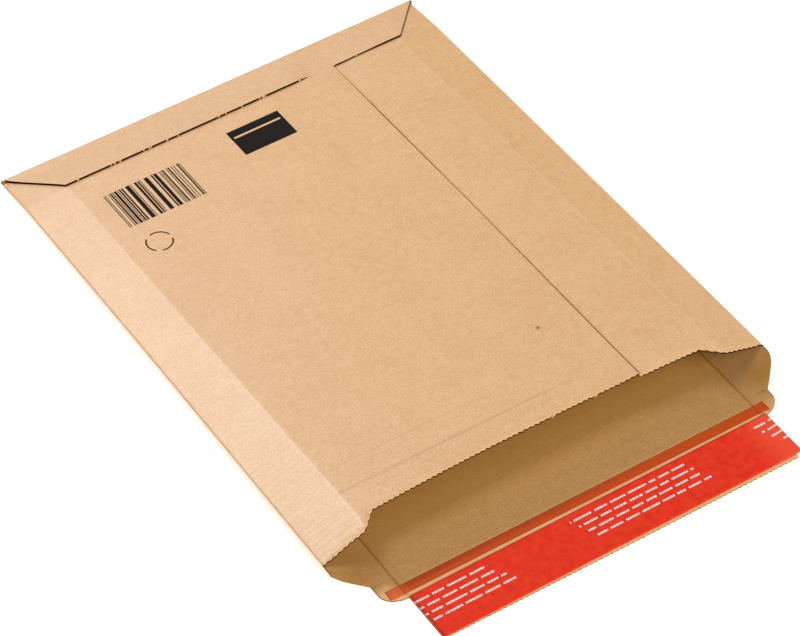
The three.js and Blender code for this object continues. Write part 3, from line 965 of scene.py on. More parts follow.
# Points inside the cut: the grid of columns and rows, the corner creases and the pressed part of the flap.
EDGE_ROWS = (0.8, 1.7)
EDGE_ROW_STEP = 1.2
EDGE_ROOM = 0.24
CORNER_STEP = 0.9
LAP_PRESS_COLUMNS = np.arange(36.0, 62.0, 1.5)
SEAM_LAST_ROWS = [MOUTH - MOUTH_RECESS - 1.9 + 0.45 * k for k in range(4)]
SAME_LINE = 2e-4
SAME_POINT = 1e-6
COLUMN_REACH = 12.5
ROW_REACH = CORNER + RIGHT_FLARE + 0.01
grid = [(c, r) for c in columns for r in rows]
grid += [(x, r) for x in LAP_PRESS_COLUMNS for r in laid_rows]
for sign in (1, -1):
    for u in np.arange(END_FLAT, BOTTOM_FLAP, CORNER_STEP):
        grid.append((sign * (PANEL_ZERO - top_crease(u)), u))
seam_rows = [u for u in rows if END_START < u < MOUTH - MOUTH_RECESS] + SEAM_LAST_ROWS
seam_lines = [[(PANEL_ZERO - seam_edge(u) - gap, u) for u in seam_rows] for gap in seam_gaps]
grid += [point for line in seam_lines for point in line]
cut_in, cut_run = way_in(outline)[:2]
for depth in EDGE_ROWS:
    place = np.flatnonzero(np.diff(np.floor(cut_run / EDGE_ROW_STEP), prepend=-1) > 0)
    grid += [tuple(p) for p in outline[place] + cut_in[place] * depth]
grid = np.unique(np.round(grid, 5), axis=0)
inside, gap = against_cut(grid)[:2]
grid = grid[inside & (gap > EDGE_ROOM)]

flat = [Vector(p) for p in outline] + [Vector(p) for p in grid]
kept = {tuple(np.round(p, 4)): k + len(outline) for k, p in enumerate(grid)}
kept.update({tuple(np.round(p, 4)): k for k, p in enumerate(outline)})
lines = []
for column in [c * sign for c in fold_columns + crease_columns for sign in (1, -1)]:
    line = sorted(key for key in kept if abs(key[0] - column) < SAME_LINE)
    for first, second in zip(line, line[1:]):
        if second[1] - first[1] < COLUMN_REACH:
            lines.append((kept[first], kept[second]))
for row in end_rows + crease_rows + [LAID_FLAT, END_START]:
    line = sorted(key for key in kept if abs(key[1] - row) < SAME_LINE and abs(key[0]) < ROW_REACH)
    lines += [(kept[first], kept[second]) for first, second in zip(line, line[1:])]
for seam_line in seam_lines:
    line = [tuple(np.round(np.round(p, 5), 4)) for p in seam_line]
    for first, second in zip(line, line[1:]):
        if first in kept and second in kept:
            lines.append((kept[first], kept[second]))
cut = delaunay_2d_cdt(flat, lines, [list(range(len(outline)))], 1, SAME_POINT)
flat_points = np.array([tuple(p) for p in cut[0]])
triangles = np.array([list(f) for f in cut[2]])
legs = flat_points[triangles]
turned = np.cross(legs[:, 1] - legs[:, 0], legs[:, 2] - legs[:, 0]) < 0
triangles[turned] = triangles[turned][:, ::-1]

# The cut's edge as one loop of points, with the board at its left.
followers = {}
directed = {(a, b) for t in triangles.tolist() for a, b in zip(t, t[1:] + t[:1])}
for a, b in directed:
    if (b, a) not in directed:
        followers[a] = b
loop = [min(followers)]
while followers[loop[-1]] != loop[0]:
    loop.append(followers[loop[-1]])
loop = np.array(loop)
inward_flat, edge_run, edge_steps = way_in(flat_points[loop])

frames = [board_frame(*p) for p in flat_points]
middle = np.array([f[0] for f in frames])
facing = np.array([f[3] for f in frames])
by_across = np.array([f[1] for f in frames])
by_along = np.array([f[2] for f in frames])
inward = by_across[loop] * inward_flat[:, :1] + by_along[loop] * inward_flat[:, 1:]


# Half the board's thickness: less where it is pressed, and along its cut edges, which the rule pinches.
# The edges are listed by the stretch of the cut that they are on, the papers in the order of their slots.
OUTSIDE, INSIDE, CUT, CORE, PRESSED = range(5)
EDGE_HALF = {"mouth": 0.36, "front": 0.38, "laid": 0.64, "seam": 0.29, "closed": 0.55, "turn": 0.6}
EDGE_CORE = {"front": PRESSED, "turn": CUT}
EDGE_DEPTH = {"mouth": 0.50, "front": 0.30, "laid": 1.00, "seam": 0.40, "closed": 0.30, "turn": 0.10}
EDGE_PINCH = (0.1, 1.8)
LINER_SHARE = 0.3
SCORE_DEPTH = 0.34
SCORE_WIDTH = 0.42
SCORE_RIGHT = 0.5
SCORE_START = (4.0, 12.0)
SCORE_END = (323.0, 320.0)
PRESSED_SHUT = 0.2
SEAM_CORNER = (0.4, 0.8)
# Painted highlight: its width at the outer creases and its fade in from the glued flap's edge.
HIGHLIGHT_CREASE_WIDTH = 0.55
HIGHLIGHT_EDGE_FADE = (0.75, 0.05)
# Painted shadow in the seam's groove: its fade across, and its end at the mouth.
GAP_SHADOW_ACROSS = (0.95, 0.55)
GAP_SHADOW_END = (283.4, 281.8)


def half_thickness(across, along):
    if along < END_START - END_ARC and on_laid_flap(across, along):
        u = END_START + (END_START - along - END_ARC)
        return (flap_top(across, u) - flap_bed(across, u)) / 2
    if across < -PANEL_ZERO:
        return seam_half(-across - PANEL_ZERO, along)
    if along > END_START:
        return HALF_BOARD - fold_pinch(across, along)
    return HALF_BOARD


def inner_score(across, along):
    off = abs(across) - HALF_PANEL - (SCORE_RIGHT if across > 0 else 0.0)
    depth = SCORE_DEPTH * math.exp(-(off / SCORE_WIDTH) ** 2)
    return depth * ease(along, *SCORE_START) * ease(along, *SCORE_END)


gap, nearest = against_cut(flat_points)[1:]
gap[loop] = 0.0
edge_zone = [zones[k] for k in nearest]
half = np.array([half_thickness(*p) for p in flat_points])
rim_half = np.minimum(half, [EDGE_HALF[z] for z in edge_zone])
half = rim_half + (half - rim_half) * [ease(g, *EDGE_PINCH) for g in gap]
sunk = np.array([inner_score(*p) for p in flat_points])
outer_face = middle + facing * half[:, None]
inner_face = middle - facing * (half - sunk)[:, None]
liner = np.minimum(LINER, half[loop] * LINER_SHARE)[:, None]
half_gap = half[loop][:, None] - liner
edge_depth = np.array([EDGE_DEPTH[edge_zone[k]] for k in loop])[:, None]
rings = [
    middle[loop] + facing[loop] * half_gap,
    middle[loop] + facing[loop] * half_gap + inward * edge_depth,
    middle[loop] - facing[loop] * half_gap + inward * edge_depth,
    middle[loop] - facing[loop] * half_gap,
]
count = len(flat_points)
board_points = np.concatenate([outer_face, inner_face] + rings) * MM
board_faces = triangles.tolist() + (triangles[:, ::-1] + count).tolist()
board_uvs = [flat_points[v] for f in triangles.tolist() for v in f]
board_uvs += [flat_points[v] for f in triangles[:, ::-1].tolist() for v in f]
board_kinds = [OUTSIDE] * len(triangles) + [INSIDE] * len(triangles)
ring_ids = [loop] + [2 * count + k * len(loop) + np.arange(len(loop)) for k in range(4)] + [loop + count]
ring_across = (0.0, 0.22, 0.5, 1.0, 1.28, 1.5)
for k in range(5):
    for i in range(len(loop)):
        j = (i + 1) % len(loop)
        board_faces.append([ring_ids[k][i], ring_ids[k + 1][i], ring_ids[k + 1][j], ring_ids[k][j]])
        start, end = edge_run[i], edge_run[i] + edge_steps[i]
        board_uvs += [(start, ring_across[k]), (start, ring_across[k + 1]),
                      (end, ring_across[k + 1]), (end, ring_across[k])]
        zone = edge_zone[loop[i]]
        core = EDGE_CORE.get(zone, CORE)
        if zone == "laid" and half[loop[i]] < PRESSED_SHUT:
            core = OUTSIDE
        off_seam = flat_points[loop[i]][0] - PANEL_ZERO + seam_edge(MOUTH) - SEAM_CORNER[0]
        if zone == "mouth" and abs(off_seam) < SEAM_CORNER[1]:
            core = CUT
        board_kinds.append(core if 0 < k < 4 or zone in ("laid", "mouth") else CUT)

board_mesh = bpy.data.meshes.new("board_blank")
board_mesh.from_pydata(board_points.tolist(), [], board_faces)
board_mesh.polygons.foreach_set("material_index", board_kinds)
board_mesh.polygons.foreach_set("use_smooth", [kind < CUT for kind in board_kinds])
uv_layer = board_mesh.uv_layers.new(name="flat_cut")
uv_layer.uv.foreach_set("vector", (np.array(board_uvs) * MM).astype(np.float32).ravel())
# One point attribute carries a painted highlight on the outer creases and the glued flap's edge, and painted
# shade in the inner score.
crease_highlight_shade = np.zeros(len(board_points), np.float32)
for k, (across, along) in enumerate(flat_points):
    if along > END_FLAT and abs(across) > ARC_END:
        distance = abs(across) - PANEL_ZERO + top_crease(along)
        crease_highlight_shade[k] = math.exp(-(distance / HIGHLIGHT_CREASE_WIDTH) ** 2)
    if edge_zone[k] == "laid":
        crease_highlight_shade[k] = max(crease_highlight_shade[k], ease(gap[k], *HIGHLIGHT_EDGE_FADE))
    crease_highlight_shade[k + count] = sunk[k] / SCORE_DEPTH
wear_layer = board_mesh.attributes.new("crease_light_and_shade", "FLOAT", "POINT")
wear_layer.data.foreach_set("value", crease_highlight_shade)
# Painted shadow in the groove right of the seam, where the right panel runs under the left, fading out at
# the mouth.
gap_shade = np.zeros(len(board_points), np.float32)
for k, (across, along) in enumerate(flat_points):
    if across > ARC_END:
        past_edge = PANEL_ZERO - across - seam_edge(along)
        gap_shade[k] = ease(past_edge, *GAP_SHADOW_ACROSS) * ease(along, *GAP_SHADOW_END)
gap_layer = board_mesh.attributes.new("gap", "FLOAT", "POINT")
gap_layer.data.foreach_set("value", gap_shade)
for material in (kraft_outside, kraft_inside, cut_paper, shaded_board_core, pressed_core):
    board_mesh.materials.append(material)
board_mesh.update()
board_blank = shown("board_blank", board_mesh)
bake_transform(board_blank)
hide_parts("envelope_body", "closing_flap")

# Fluted medium: the wavy sheet glued between the two liners, seen end-on where a cut crosses the flutes.
# It is one thin brown ribbon just inside the cut, waved by its place along the board and squeezed there.
MEDIUM_BROWN = (0.340, 0.185, 0.080, 1.0)
MEDIUM_DARK = (0.210, 0.105, 0.042, 1.0)
MEDIUM_THICKNESS = 0.0001
MEDIUM_STEP = 0.0003
MEDIUM_ROOM = 0.05
FLUTES_MERGED = 1e-6
FUZZ_TONES = (0.35, 0.65)
FUZZ_DETAIL = 3.0
FUZZ_HEIGHT = 3e-5
FUZZ_ROUGHNESS = 0.9
FUZZ_SPECULAR = 0.25
CREASE_HALF = 1.3
SEAM_FLUTES_START = 27.0
SEAM_FLUTES_STOP = 3.0
SIDEWAYS = 0.45
FRONT_FLUTES_START = FOLD_END + 0.5


def object_paper_material(name, dark, pale, scale):
    material, tree = new_material(name)
    fuzz = noise(tree, add(tree, "ShaderNodeTexCoord").outputs["Object"], scale, FUZZ_DETAIL)
    return dressed(material, {
        "Base Color": mixed(tree, between(tree, fuzz, *FUZZ_TONES), dark, pale),
        "Normal": raised(tree, times(tree, fuzz, FUZZ_HEIGHT)),
        "Roughness": FUZZ_ROUGHNESS,
        "Specular IOR Level": FUZZ_SPECULAR,
    })


def growth_tree(name, inputs):
    sockets = {"Geometry": "Geometry", **inputs, "Material": "Material"}
    return new_group(name, sockets, {"Geometry": "Geometry"}, "GeometryNodeTree")


def named(tree, name, kind="FLOAT"):
    return add(tree, "GeometryNodeInputNamedAttribute", {"Name": name}, data_type=kind).outputs[0]


def spaced(tree, line, step):
    curve = add(tree, "GeometryNodeMeshToCurve", {0: line}).outputs[0]
    return add(tree, "GeometryNodeResampleCurve", {0: curve, "Length": step}, mode="LENGTH").outputs[0]


def finished(tree, given, made, geometry):
    whole = add(tree, "GeometryNodeRealizeInstances", {"Geometry": geometry}).outputs[0]
    inputs = {"Geometry": whole, "Material": given["Material"]}
    tree.links.new(add(tree, "GeometryNodeSetMaterial", inputs).outputs[0], made["Geometry"])
    return tree


def flute_run_tree():
    sizes = {"Flute Pitch": "Float", "Sample Length": "Float", "Medium Thickness": "Float"}
    tree, given, made = growth_tree("flute_run", sizes)
    thickness = given["Medium Thickness"]
    line = spaced(tree, given["Geometry"], given["Sample Length"])
    edge = add(tree, "GeometryNodeCurveToMesh", {0: line}).outputs[0]
    facing_way = named(tree, "facing", "FLOAT_VECTOR")
    turn = times(tree, maths(tree, "DIVIDE", named(tree, "along"), given["Flute Pitch"]), math.tau)
    wave = times(tree, maths(tree, "SINE", turn), named(tree, "room"))
    wave = minus(tree, wave, times(tree, thickness, 0.5))
    shift = add(tree, "ShaderNodeVectorMath", {0: facing_way, "Scale": wave}, operation="SCALE").outputs[0]
    waved = add(tree, "GeometryNodeSetPosition", {0: edge, "Offset": shift}).outputs[0]
    inward_way = named(tree, "inward", "FLOAT_VECTOR")
    inputs = {"Mesh": waved, "Offset": inward_way, "Offset Scale": named(tree, "deep")}
    ribbon = add(tree, "GeometryNodeExtrudeMesh", inputs, mode="EDGES").outputs[0]
    inputs = {"Mesh": ribbon, "Offset": facing_way, "Offset Scale": thickness, "Individual": False}
    thick = add(tree, "GeometryNodeExtrudeMesh", inputs, mode="FACES").outputs[0]
    under = add(tree, "GeometryNodeFlipFaces", {0: ribbon}).outputs[0]
    both = add(tree, "GeometryNodeJoinGeometry")
    for sheet in (thick, under):
        tree.links.new(sheet, both.inputs[0])
    inputs = {0: both.outputs[0], "Distance": FLUTES_MERGED}
    return finished(tree, given, made, add(tree, "GeometryNodeMergeByDistance", inputs).outputs[0])


def grown(name, points, edges, attributes, tree, values):
    mesh = bpy.data.meshes.new(name + "_path")
    mesh.from_pydata(points, edges, [])
    for label, data in attributes.items():
        data = np.array(data, np.float32)
        kind, field = ("FLOAT_VECTOR", "vector") if data.ndim == 2 else ("FLOAT", "value")
        mesh.attributes.new(label, kind, "POINT").data.foreach_set(field, data.ravel())
    line = shown(name + "_path", mesh)
    growth = line.modifiers.new("growth", "NODES")
    growth.node_group = tree
    sockets = {item.name: item.identifier for item in tree.interface.items_tree if item.in_out == "INPUT"}
    for label, value in values.items():
        growth[sockets[label]] = value
    made = bpy.data.meshes.new_from_object(line.evaluated_get(bpy.context.evaluated_depsgraph_get()))
    made.name = name
    bpy.data.objects.remove(line)
    bpy.data.meshes.remove(mesh)
    shape = bmesh.new()
    shape.from_mesh(made)
    bmesh.ops.recalc_face_normals(shape, faces=shape.faces)
    shape.to_mesh(made)
    shape.free()
    return shown(name, made)


def crosses_flutes(k, flap):
    across, along = flat_points[loop[k]]
    if flap != (along > FLAP_CREASE + CREASE_HALF) or abs(along - FLAP_CREASE) < CREASE_HALF:
        return False
    if edge_zone[loop[k]] == "seam":
        return across < 0 and SEAM_FLUTES_START < along < MOUTH - MOUTH_RECESS - SEAM_FLUTES_STOP
    sideways = abs(inward_flat[k][0]) > SIDEWAYS
    return sideways and edge_zone[loop[k]] == "front" and along > FRONT_FLUTES_START


def flute_piece(name, flap):
    ids = [k for k in range(len(loop)) if crosses_flutes(k, flap)]
    order = {k: n for n, k in enumerate(ids)}
    edges = [(order[k], order[k + 1]) for k in ids if k + 1 in order]
    points = (middle[loop[ids]] + inward[ids] * MEDIUM_ROOM) * MM
    attributes = {
        "facing": facing[loop[ids]],
        "inward": inward[ids],
        "along": flat_points[loop[ids]][:, 1] * MM,
        "room": (half_gap[ids, 0] - MEDIUM_ROOM) * MM,
        "deep": edge_depth[ids, 0] * MM,
    }
    values = {"Flute Pitch": FLUTE_PITCH, "Sample Length": MEDIUM_STEP,
              "Medium Thickness": MEDIUM_THICKNESS, "Material": fluted_paper}
    return grown(name, points.tolist(), edges, attributes, flute_run, values)


fluted_paper = object_paper_material("fluted_paper", MEDIUM_DARK, MEDIUM_BROWN, scale=700.0)
flute_run = flute_run_tree()
envelope_flutes = flute_piece("envelope_flutes", False)
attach(envelope_flutes, "envelope")
flap_flutes = flute_piece("flap_flutes", True)
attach(flap_flutes, "flap")

# Nicks: small torn bridges of liner left by the cutting rule along the free edge of the glued flap.
# Short tufts of pale fibre stand across the dark core, closer together on the left than on the right.
# Two more are left on the mouth edge of the left panel.
NICK_PALE = (0.700, 0.430, 0.230, 1.0)
NICK_DEEP = (0.520, 0.300, 0.140, 1.0)
NICK_STEP = 0.001
NICK_SIZE = (0.00058, 0.00030, 0.00064)
NICK_SPREAD = ((0.7, 0.8, 0.9), (1.3, 1.1, 1.05))
NICK_SEED = 11
NICK_FORWARD = (0.0, 0.12, 0.0)
NICK_BREAK = 0.003
NICK_SHARE = 0.055
NICK_SHARE_LEFT = (0.085, 20.0, -90.0)
NICK_FREE = (38.0, 60.0)
ON_FREE_EDGE = 1e-3
MOUTH_NICKS = (9.2, 32.0)
MOUTH_NICK_SIZE = (0.00050, 0.00050, 0.00042)
MOUTH_NICK_SEED = 3
MOUTH_NICK_HALF = 0.35
MOUTH_NICK_PLACE = (-0.25, 0.1)
ALWAYS_TORN = 2.0


def nick_run_tree():
    sizes = {"Step": "Float", "Nick Size": "Vector", "Seed": "Int"}
    tree, given, made = growth_tree("nick_run", sizes)
    places = spaced(tree, given["Geometry"], given["Step"])
    chance = add(tree, "FunctionNodeRandomValue", data_type="FLOAT")
    spread = dict(enumerate(NICK_SPREAD))
    size = add(tree, "FunctionNodeRandomValue", spread, data_type="FLOAT_VECTOR")
    for draw in (chance, size):
        tree.links.new(given["Seed"], draw.inputs["Seed"])
    torn = maths(tree, "LESS_THAN", chance.outputs[1], named(tree, "torn"))
    tuft = add(tree, "GeometryNodeMeshUVSphere", {"Segments": 8, "Rings": 5, "Radius": 1.0}).outputs[0]
    inputs = {0: size.outputs[0], 1: given["Nick Size"]}
    size = add(tree, "ShaderNodeVectorMath", inputs, operation="MULTIPLY").outputs[0]
    inputs = {"Points": places, "Selection": torn, "Instance": tuft, "Scale": size}
    return finished(tree, given, made, add(tree, "GeometryNodeInstanceOnPoints", inputs).outputs[0])


def nick_piece(name, points, edges, torn, size, seed):
    values = {"Step": NICK_STEP, "Nick Size": size, "Seed": seed, "Material": torn_fibre}
    return grown(name, (np.array(points) * MM).tolist(), edges, {"torn": torn}, nick_run, values)


torn_fibre = object_paper_material("torn_fibre", NICK_DEEP, NICK_PALE, scale=900.0)
nick_run = nick_run_tree()
nick_ids = [k for k in loop if abs(flat_points[k][1] - laid_free(flat_points[k][0])) < ON_FREE_EDGE]
nick_ids = [k for k in nick_ids if not NICK_FREE[0] <= flat_points[k][0] <= NICK_FREE[1]]
nick_points = middle[nick_ids] + NICK_FORWARD
nick_steps = np.linalg.norm(np.diff(nick_points, axis=0), axis=1) * MM
nick_edges = [(n, n + 1) for n, step in enumerate(nick_steps) if step < NICK_BREAK]
nick_share = [NICK_SHARE + swell(flat_points[k][0], NICK_SHARE_LEFT) for k in nick_ids]
flap_nicks = nick_piece("flap_nicks", nick_points, nick_edges, nick_share, NICK_SIZE, NICK_SEED)
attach(flap_nicks, "envelope")

mouth_ids = [k for k in loop if edge_zone[k] == "mouth" and flat_points[k][0] < 0]
tuft_points = []
for x in MOUTH_NICKS:
    nearest_id = min(mouth_ids, key=lambda k: abs(middle[k][0] - x))
    for end in (-MOUTH_NICK_HALF, MOUTH_NICK_HALF):
        tuft_points.append(middle[nearest_id] + (end, *MOUTH_NICK_PLACE))
tuft_edges = [(n, n + 1) for n in range(0, len(tuft_points), 2)]
tuft_share = [ALWAYS_TORN] * len(tuft_points)
mouth_nicks = nick_piece("mouth_nicks", tuft_points, tuft_edges, tuft_share, MOUTH_NICK_SIZE,
                         MOUTH_NICK_SEED)
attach(mouth_nicks, "envelope")

# Tear strip: a thin orange film glued across the root of the closing flap, square-cut at both ends.
# A thicker line along its middle takes the pull, and it bridges the two base creases with a small ridge.
# Painted on the film: its upper half darker as shade, most on the left, its left end lighter as light, a
# thin line of shade over each crease.
STRIP_LEFT = -101.3
STRIP_RIGHT = 99.6
STRIP_START = 316.65
STRIP_END = 321.95
STRIP_STEPS = 12
FILM = 0.2
FILM_BITE = 0.75
PULL_LINE = (0.02, 0.10)
BRIDGE = (0.10, 0.5)
FILM_RIPPLE = (0.015, 0.23, 0.5, 0.071)
FILM_PALE = (0.480, 0.064, 0.004, 1.0)
FILM_DEEP = (0.335, 0.036, 0.003, 1.0)
FILM_LIT_END = (0.800, 0.200, 0.050, 1.0)
STREAK_STRETCH = (60.0, 900.0, 1.0)
STREAK_DETAIL = 3.0
STREAK_SHARE = 0.35
STREAK_HEIGHT = 2e-5
# Painted shade on the upper half, painted light on the left end, painted shade over the creases.
SHADED_HALF_ALONG, SHADED_HALF_ACROSS = (0.31975, 0.31890), (0.060, -0.080)
SHADED_HALF_SHARE = 0.75
LIT_END_FADE, LIT_END_SHARE = (-0.0905, -0.0965), 0.42
CREASE_SHADE_LINE = (0.0005, 0.0)
FILM_ROUGHNESS = (-0.4, 1.6)
FILM_SPECULAR = 0.12


def laid_sheet(name, xs, us, bottom, top, material, askew=0.0):
    points = []
    uvs = []
    for surface in (top, bottom):
        for u in us:
            for x in xs:
                points.append((x * MM, (LENGTH / 2 - u - askew * x) * MM, surface(x, u) * MM))
                uvs.append((x * MM, u * MM))
    wide, long = len(xs), len(us)
    below = wide * long
    faces = []
    for j in range(long - 1):
        for i in range(wide - 1):
            a = j * wide + i
            faces.append((a, a + wide, a + wide + 1, a + 1))
            faces.append((below + a, below + a + 1, below + a + wide + 1, below + a + wide))
    flat_count = len(faces)
    rim = list(range(wide)) + [j * wide + wide - 1 for j in range(1, long)]
    rim += [below - 1 - i for i in range(1, wide)] + [j * wide for j in range(long - 2, 0, -1)]
    for a, b in zip(rim, rim[1:] + rim[:1]):
        faces.append((a, b, below + b, below + a))
    mesh = bpy.data.meshes.new(name)
    mesh.from_pydata(points, [], faces)
    mesh.polygons.foreach_set("use_smooth", [n < flat_count for n in range(len(faces))])
    layer = mesh.uv_layers.new(name="flat_cut")
    corners = np.zeros(len(mesh.loops), int)
    mesh.loops.foreach_get("vertex_index", corners)
    layer.uv.foreach_set("vector", np.array(uvs, np.float32)[corners].ravel())
    mesh.materials.append(material)
    mesh.update()
    return shown(name, mesh)


def card_top(x, u):
    return BOARD + EAR_SLOPE * max(abs(x) - HALF_PANEL, 0.0) * ease(u, *EAR_SETTLE)


def film_top(x, u):
    share = (u - STRIP_START) / (STRIP_END - STRIP_START)
    pull_line = PULL_LINE[0] * math.exp(-((share - 0.5) / PULL_LINE[1]) ** 2)
    bridge = BRIDGE[0] * math.exp(-((abs(x) - HALF_PANEL) / BRIDGE[1]) ** 2)
    height, often, start, seldom = FILM_RIPPLE
    ripple = height * math.sin(x * often + start) * math.sin(x * seldom)
    return card_top(x, u) + FILM * FILM_BITE + pull_line + bridge + ripple


def tear_film_material():
    material, tree = new_material("tear_film")
    place, across, along = flat_place(tree)
    stretched = add(tree, "ShaderNodeMapping", {"Vector": place, "Scale": STREAK_STRETCH}).outputs[0]
    streak = noise(tree, stretched, 1.0, STREAK_DETAIL)
    # Painted shade on the film's upper half, fading out to the right.
    shaded_half = times(tree, between(tree, along, *SHADED_HALF_ALONG), between(tree, across, *SHADED_HALF_ACROSS))
    depth = plus(tree, times(tree, shaded_half, SHADED_HALF_SHARE), times(tree, streak, STREAK_SHARE))
    colour = mixed(tree, depth, FILM_PALE, FILM_DEEP)
    # Painted light on the film's left end, over the left ear.
    lit_left_end = times(tree, between(tree, across, *LIT_END_FADE), LIT_END_SHARE)
    colour = mixed(tree, lit_left_end, colour, FILM_LIT_END)
    # Painted shade in a thin line over each base crease.
    off_crease = minus(tree, maths(tree, "ABSOLUTE", across), HALF_PANEL * MM)
    ridge = between(tree, maths(tree, "ABSOLUTE", off_crease), *CREASE_SHADE_LINE)
    return dressed(material, {
        "Base Color": mixed(tree, ridge, colour, FILM_DEEP),
        "Roughness": between(tree, streak, *FILM_ROUGHNESS),
        "Normal": raised(tree, times(tree, streak, STREAK_HEIGHT)),
        "Specular IOR Level": FILM_SPECULAR,
    })


near_crease = [HALF_PANEL + gap for gap in (-1.6, -0.9, -0.45, 0.0, 0.45, 0.9, 1.6)]
strip_columns = [3.0 * k for k in range(31)] + near_crease + [97.5]
strip_columns = {-x for x in strip_columns} | set(strip_columns) | {STRIP_LEFT, -99.7, STRIP_RIGHT}
strip_rows = [STRIP_START + (STRIP_END - STRIP_START) * k / STRIP_STEPS for k in range(STRIP_STEPS + 1)]
tear_strip = laid_sheet("tear_strip_film", sorted(strip_columns), strip_rows, card_top, film_top,
                        tear_film_material())
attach(tear_strip, "flap")
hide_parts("tear_strip")

# Release liner: smooth red paper over the flap's glue, cut flush on the left, with a loose pull end
# on the right. It is printed with rows of plain white dashes.
LINER_LEFT = -93.45
LINER_RIGHT = 96.1
LINER_START = 323.65
LINER_END = 350.85
LINER_ASKEW = -0.0037
PAPER = 0.22
GLUE_LINE = 0.02
LOOSE_START = 90.0
LOOSE_LIFT = 0.55
LINER_RIPPLE = 0.045
RIPPLE_ACROSS = (0.085, 0.4)
RIPPLE_ALONG = 0.3
RIPPLE_START = 8.0
FLAT_RIM = 3.0
RED_PALE = (0.745, 0.034, 0.008, 1.0)
RED_DEEP = (0.635, 0.021, 0.004, 1.0)
RED_LOOSE = (0.800, 0.088, 0.034, 1.0)
MARK_WHITE = (0.880, 0.820, 0.780, 1.0)
RED_CLOUDS = (260.0, 4.0)
RED_TONES = (0.35, 0.65)
PULL_FADE, PULL_SHARE = (0.078, 0.090), 0.6
MARKS_START, MARKS_END = 0.3262, 0.3426
MARKS_PITCH = 0.0041
MARKS_SPREAD = (0.33, 0.60)
MARK_BLOCKS = ((-0.1020, -0.0560), (-0.0130, 0.0480), (0.0860, 0.1060))
MARK_LENGTH = 0.0085
MARK_SHUFFLE = 7.31
MARK_SLANT = 0.0021
MARK_BREAKS = ((1.0, 0.09), (6.5, 0.13))
MARK_SHARE = 0.88
LINER_ROUGHNESS = (-0.6, 1.4)
LINER_HEIGHT = 3e-5
LINER_SPECULAR = 0.14


def liner_under(x, u):
    loose = ease(x, LOOSE_START, LINER_RIGHT)
    swing = math.sin(x * RIPPLE_ACROSS[0] + RIPPLE_ACROSS[1] * math.sin(u * RIPPLE_ALONG))
    ripple = LINER_RIPPLE * (1 + swing) * ease(x, LINER_LEFT, LINER_LEFT + RIPPLE_START)
    edge = ease(min(u - LINER_START, LINER_END - u), 0.0, FLAT_RIM)
    return card_top(x, u) + GLUE_LINE + LOOSE_LIFT * loose * loose + ripple * edge


def liner_top(x, u):
    return liner_under(x, u) + PAPER


def liner_marks(tree, across, along):
    line = maths(tree, "DIVIDE", minus(tree, along, MARKS_START), MARKS_PITCH)
    row = maths(tree, "FLOOR", line)
    within = maths(tree, "FRACT", line)
    marks = times(tree, maths(tree, "GREATER_THAN", within, MARKS_SPREAD[0]),
                  maths(tree, "LESS_THAN", within, MARKS_SPREAD[1]))
    run = plus(tree, maths(tree, "DIVIDE", across, MARK_LENGTH), times(tree, row, MARK_SHUFFLE))
    for scale, width in MARK_BREAKS:
        breaks = add(tree, "ShaderNodeTexVoronoi", {"W": run, "Scale": scale}, voronoi_dimensions="1D",
                     feature="DISTANCE_TO_EDGE")
        marks = times(tree, marks, maths(tree, "GREATER_THAN", breaks.outputs["Distance"], width))
    shift = minus(tree, across, times(tree, row, MARK_SLANT))
    moved = add(tree, "ShaderNodeCombineXYZ", {0: shift, 1: along}).outputs[0]
    blocks = 0.0
    for left, right in MARK_BLOCKS:
        blocks = maths(tree, "MAXIMUM", field_mask(tree, moved, left, right, MARKS_START, MARKS_END), blocks)
    return times(tree, marks, blocks, MARK_SHARE)


def liner_paper_material():
    material, tree = new_material("liner_paper")
    place, across, along = flat_place(tree)
    cloud = noise(tree, place, *RED_CLOUDS)
    colour = mixed(tree, between(tree, cloud, *RED_TONES), RED_DEEP, RED_PALE)
    pull_end = times(tree, between(tree, across, *PULL_FADE), PULL_SHARE)
    colour = mixed(tree, pull_end, colour, RED_LOOSE)
    return dressed(material, {
        "Base Color": mixed(tree, liner_marks(tree, across, along), colour, MARK_WHITE),
        "Roughness": between(tree, cloud, *LINER_ROUGHNESS),
        "Normal": raised(tree, times(tree, cloud, LINER_HEIGHT)),
        "Specular IOR Level": LINER_SPECULAR,
    })


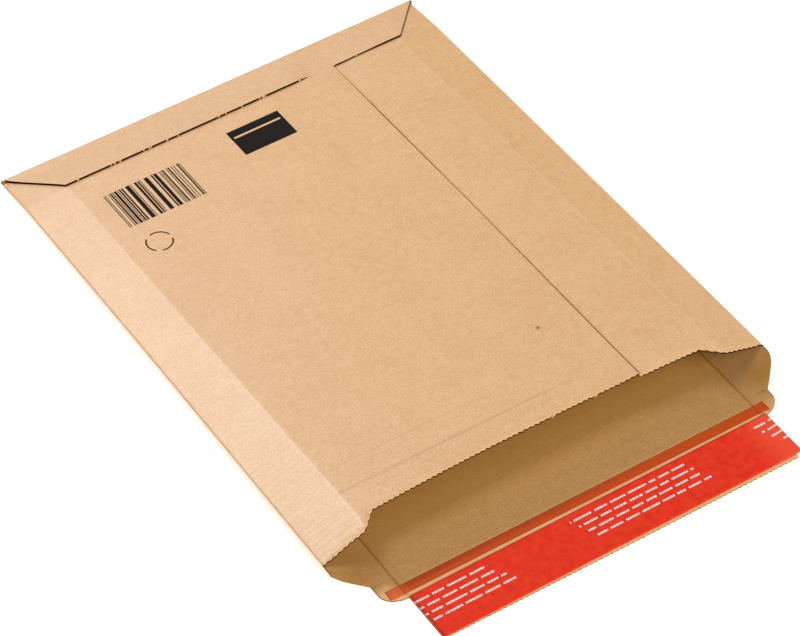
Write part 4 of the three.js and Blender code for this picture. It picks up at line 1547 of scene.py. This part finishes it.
liner_columns = list(np.linspace(LINER_LEFT, 88.0, 62))
liner_columns += [89.5, 91.0, 92.2, 93.2, 94.0, 94.8, 95.7, LINER_RIGHT]
liner_rows = [LINER_START, LINER_START + 1.0]
liner_rows += list(np.linspace(LINER_START + FLAT_RIM, LINER_END - FLAT_RIM, 8))
liner_rows += [LINER_END - 1.0, LINER_END]
release_liner = laid_sheet("release_liner_paper", liner_columns, liner_rows, liner_under, liner_top,
                           liner_paper_material(), LINER_ASKEW)
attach(release_liner, "flap")
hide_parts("release_liner")

# Floor and light: a pale floor that glows faintly, a soft key lamp behind, a low lamp farther back,
# a large lamp in front and an even white surround. Nothing here belongs to the part.
WHITE = (1.0, 1.0, 1.0, 1.0)
FLOOR_PALE = (0.93, 0.93, 0.93, 1.0)
FLOOR_HALF = 4.0
FLOOR_DROP = 0.0002
FLOOR_GLOW = 0.46
SURROUND_GLOW = 0.37
LAMPS = (
    ("key_lamp", (-0.12, 1.1, 1.55), 0.95, 16.8),
    ("back_lamp", (0.55, 2.2, 1.05), 1.0, 4.2),
    ("front_lamp", (0.45, -2.9, 1.45), 3.4, 116.0),
)
floor_mesh = bpy.data.meshes.new("floor")
floor_corners = [(x * FLOOR_HALF, y * FLOOR_HALF, 0.0) for x, y in ((-1, -1), (1, -1), (1, 1), (-1, 1))]
floor_mesh.from_pydata(floor_corners, [], [(0, 1, 2, 3)])
floor_mesh.materials.append(dressed(new_material("floor_paper")[0], {
    "Base Color": FLOOR_PALE,
    "Roughness": 0.9,
    "Specular IOR Level": 0.1,
    "Emission Color": WHITE,
    "Emission Strength": FLOOR_GLOW,
}))
floor = shown("floor", floor_mesh)
floor.location.z = -FLOOR_DROP

surround = bpy.data.worlds.new("surround")
surround.use_nodes = True
backdrop = surround.node_tree.nodes["Background"]
backdrop.inputs["Color"].default_value = WHITE
backdrop.inputs["Strength"].default_value = SURROUND_GLOW
bpy.context.scene.world = surround
bpy.context.scene.view_settings.view_transform = "Standard"

for lamp_name, lamp_place, lamp_size, lamp_power in LAMPS:
    light = bpy.data.lights.new(lamp_name, "AREA")
    light.shape = "SQUARE"
    light.size = lamp_size
    light.energy = lamp_power
    lamp = shown(lamp_name, light)
    lamp.location = lamp_place
    lamp.rotation_euler = (-Vector(lamp_place)).to_track_quat("-Z", "Y").to_euler()
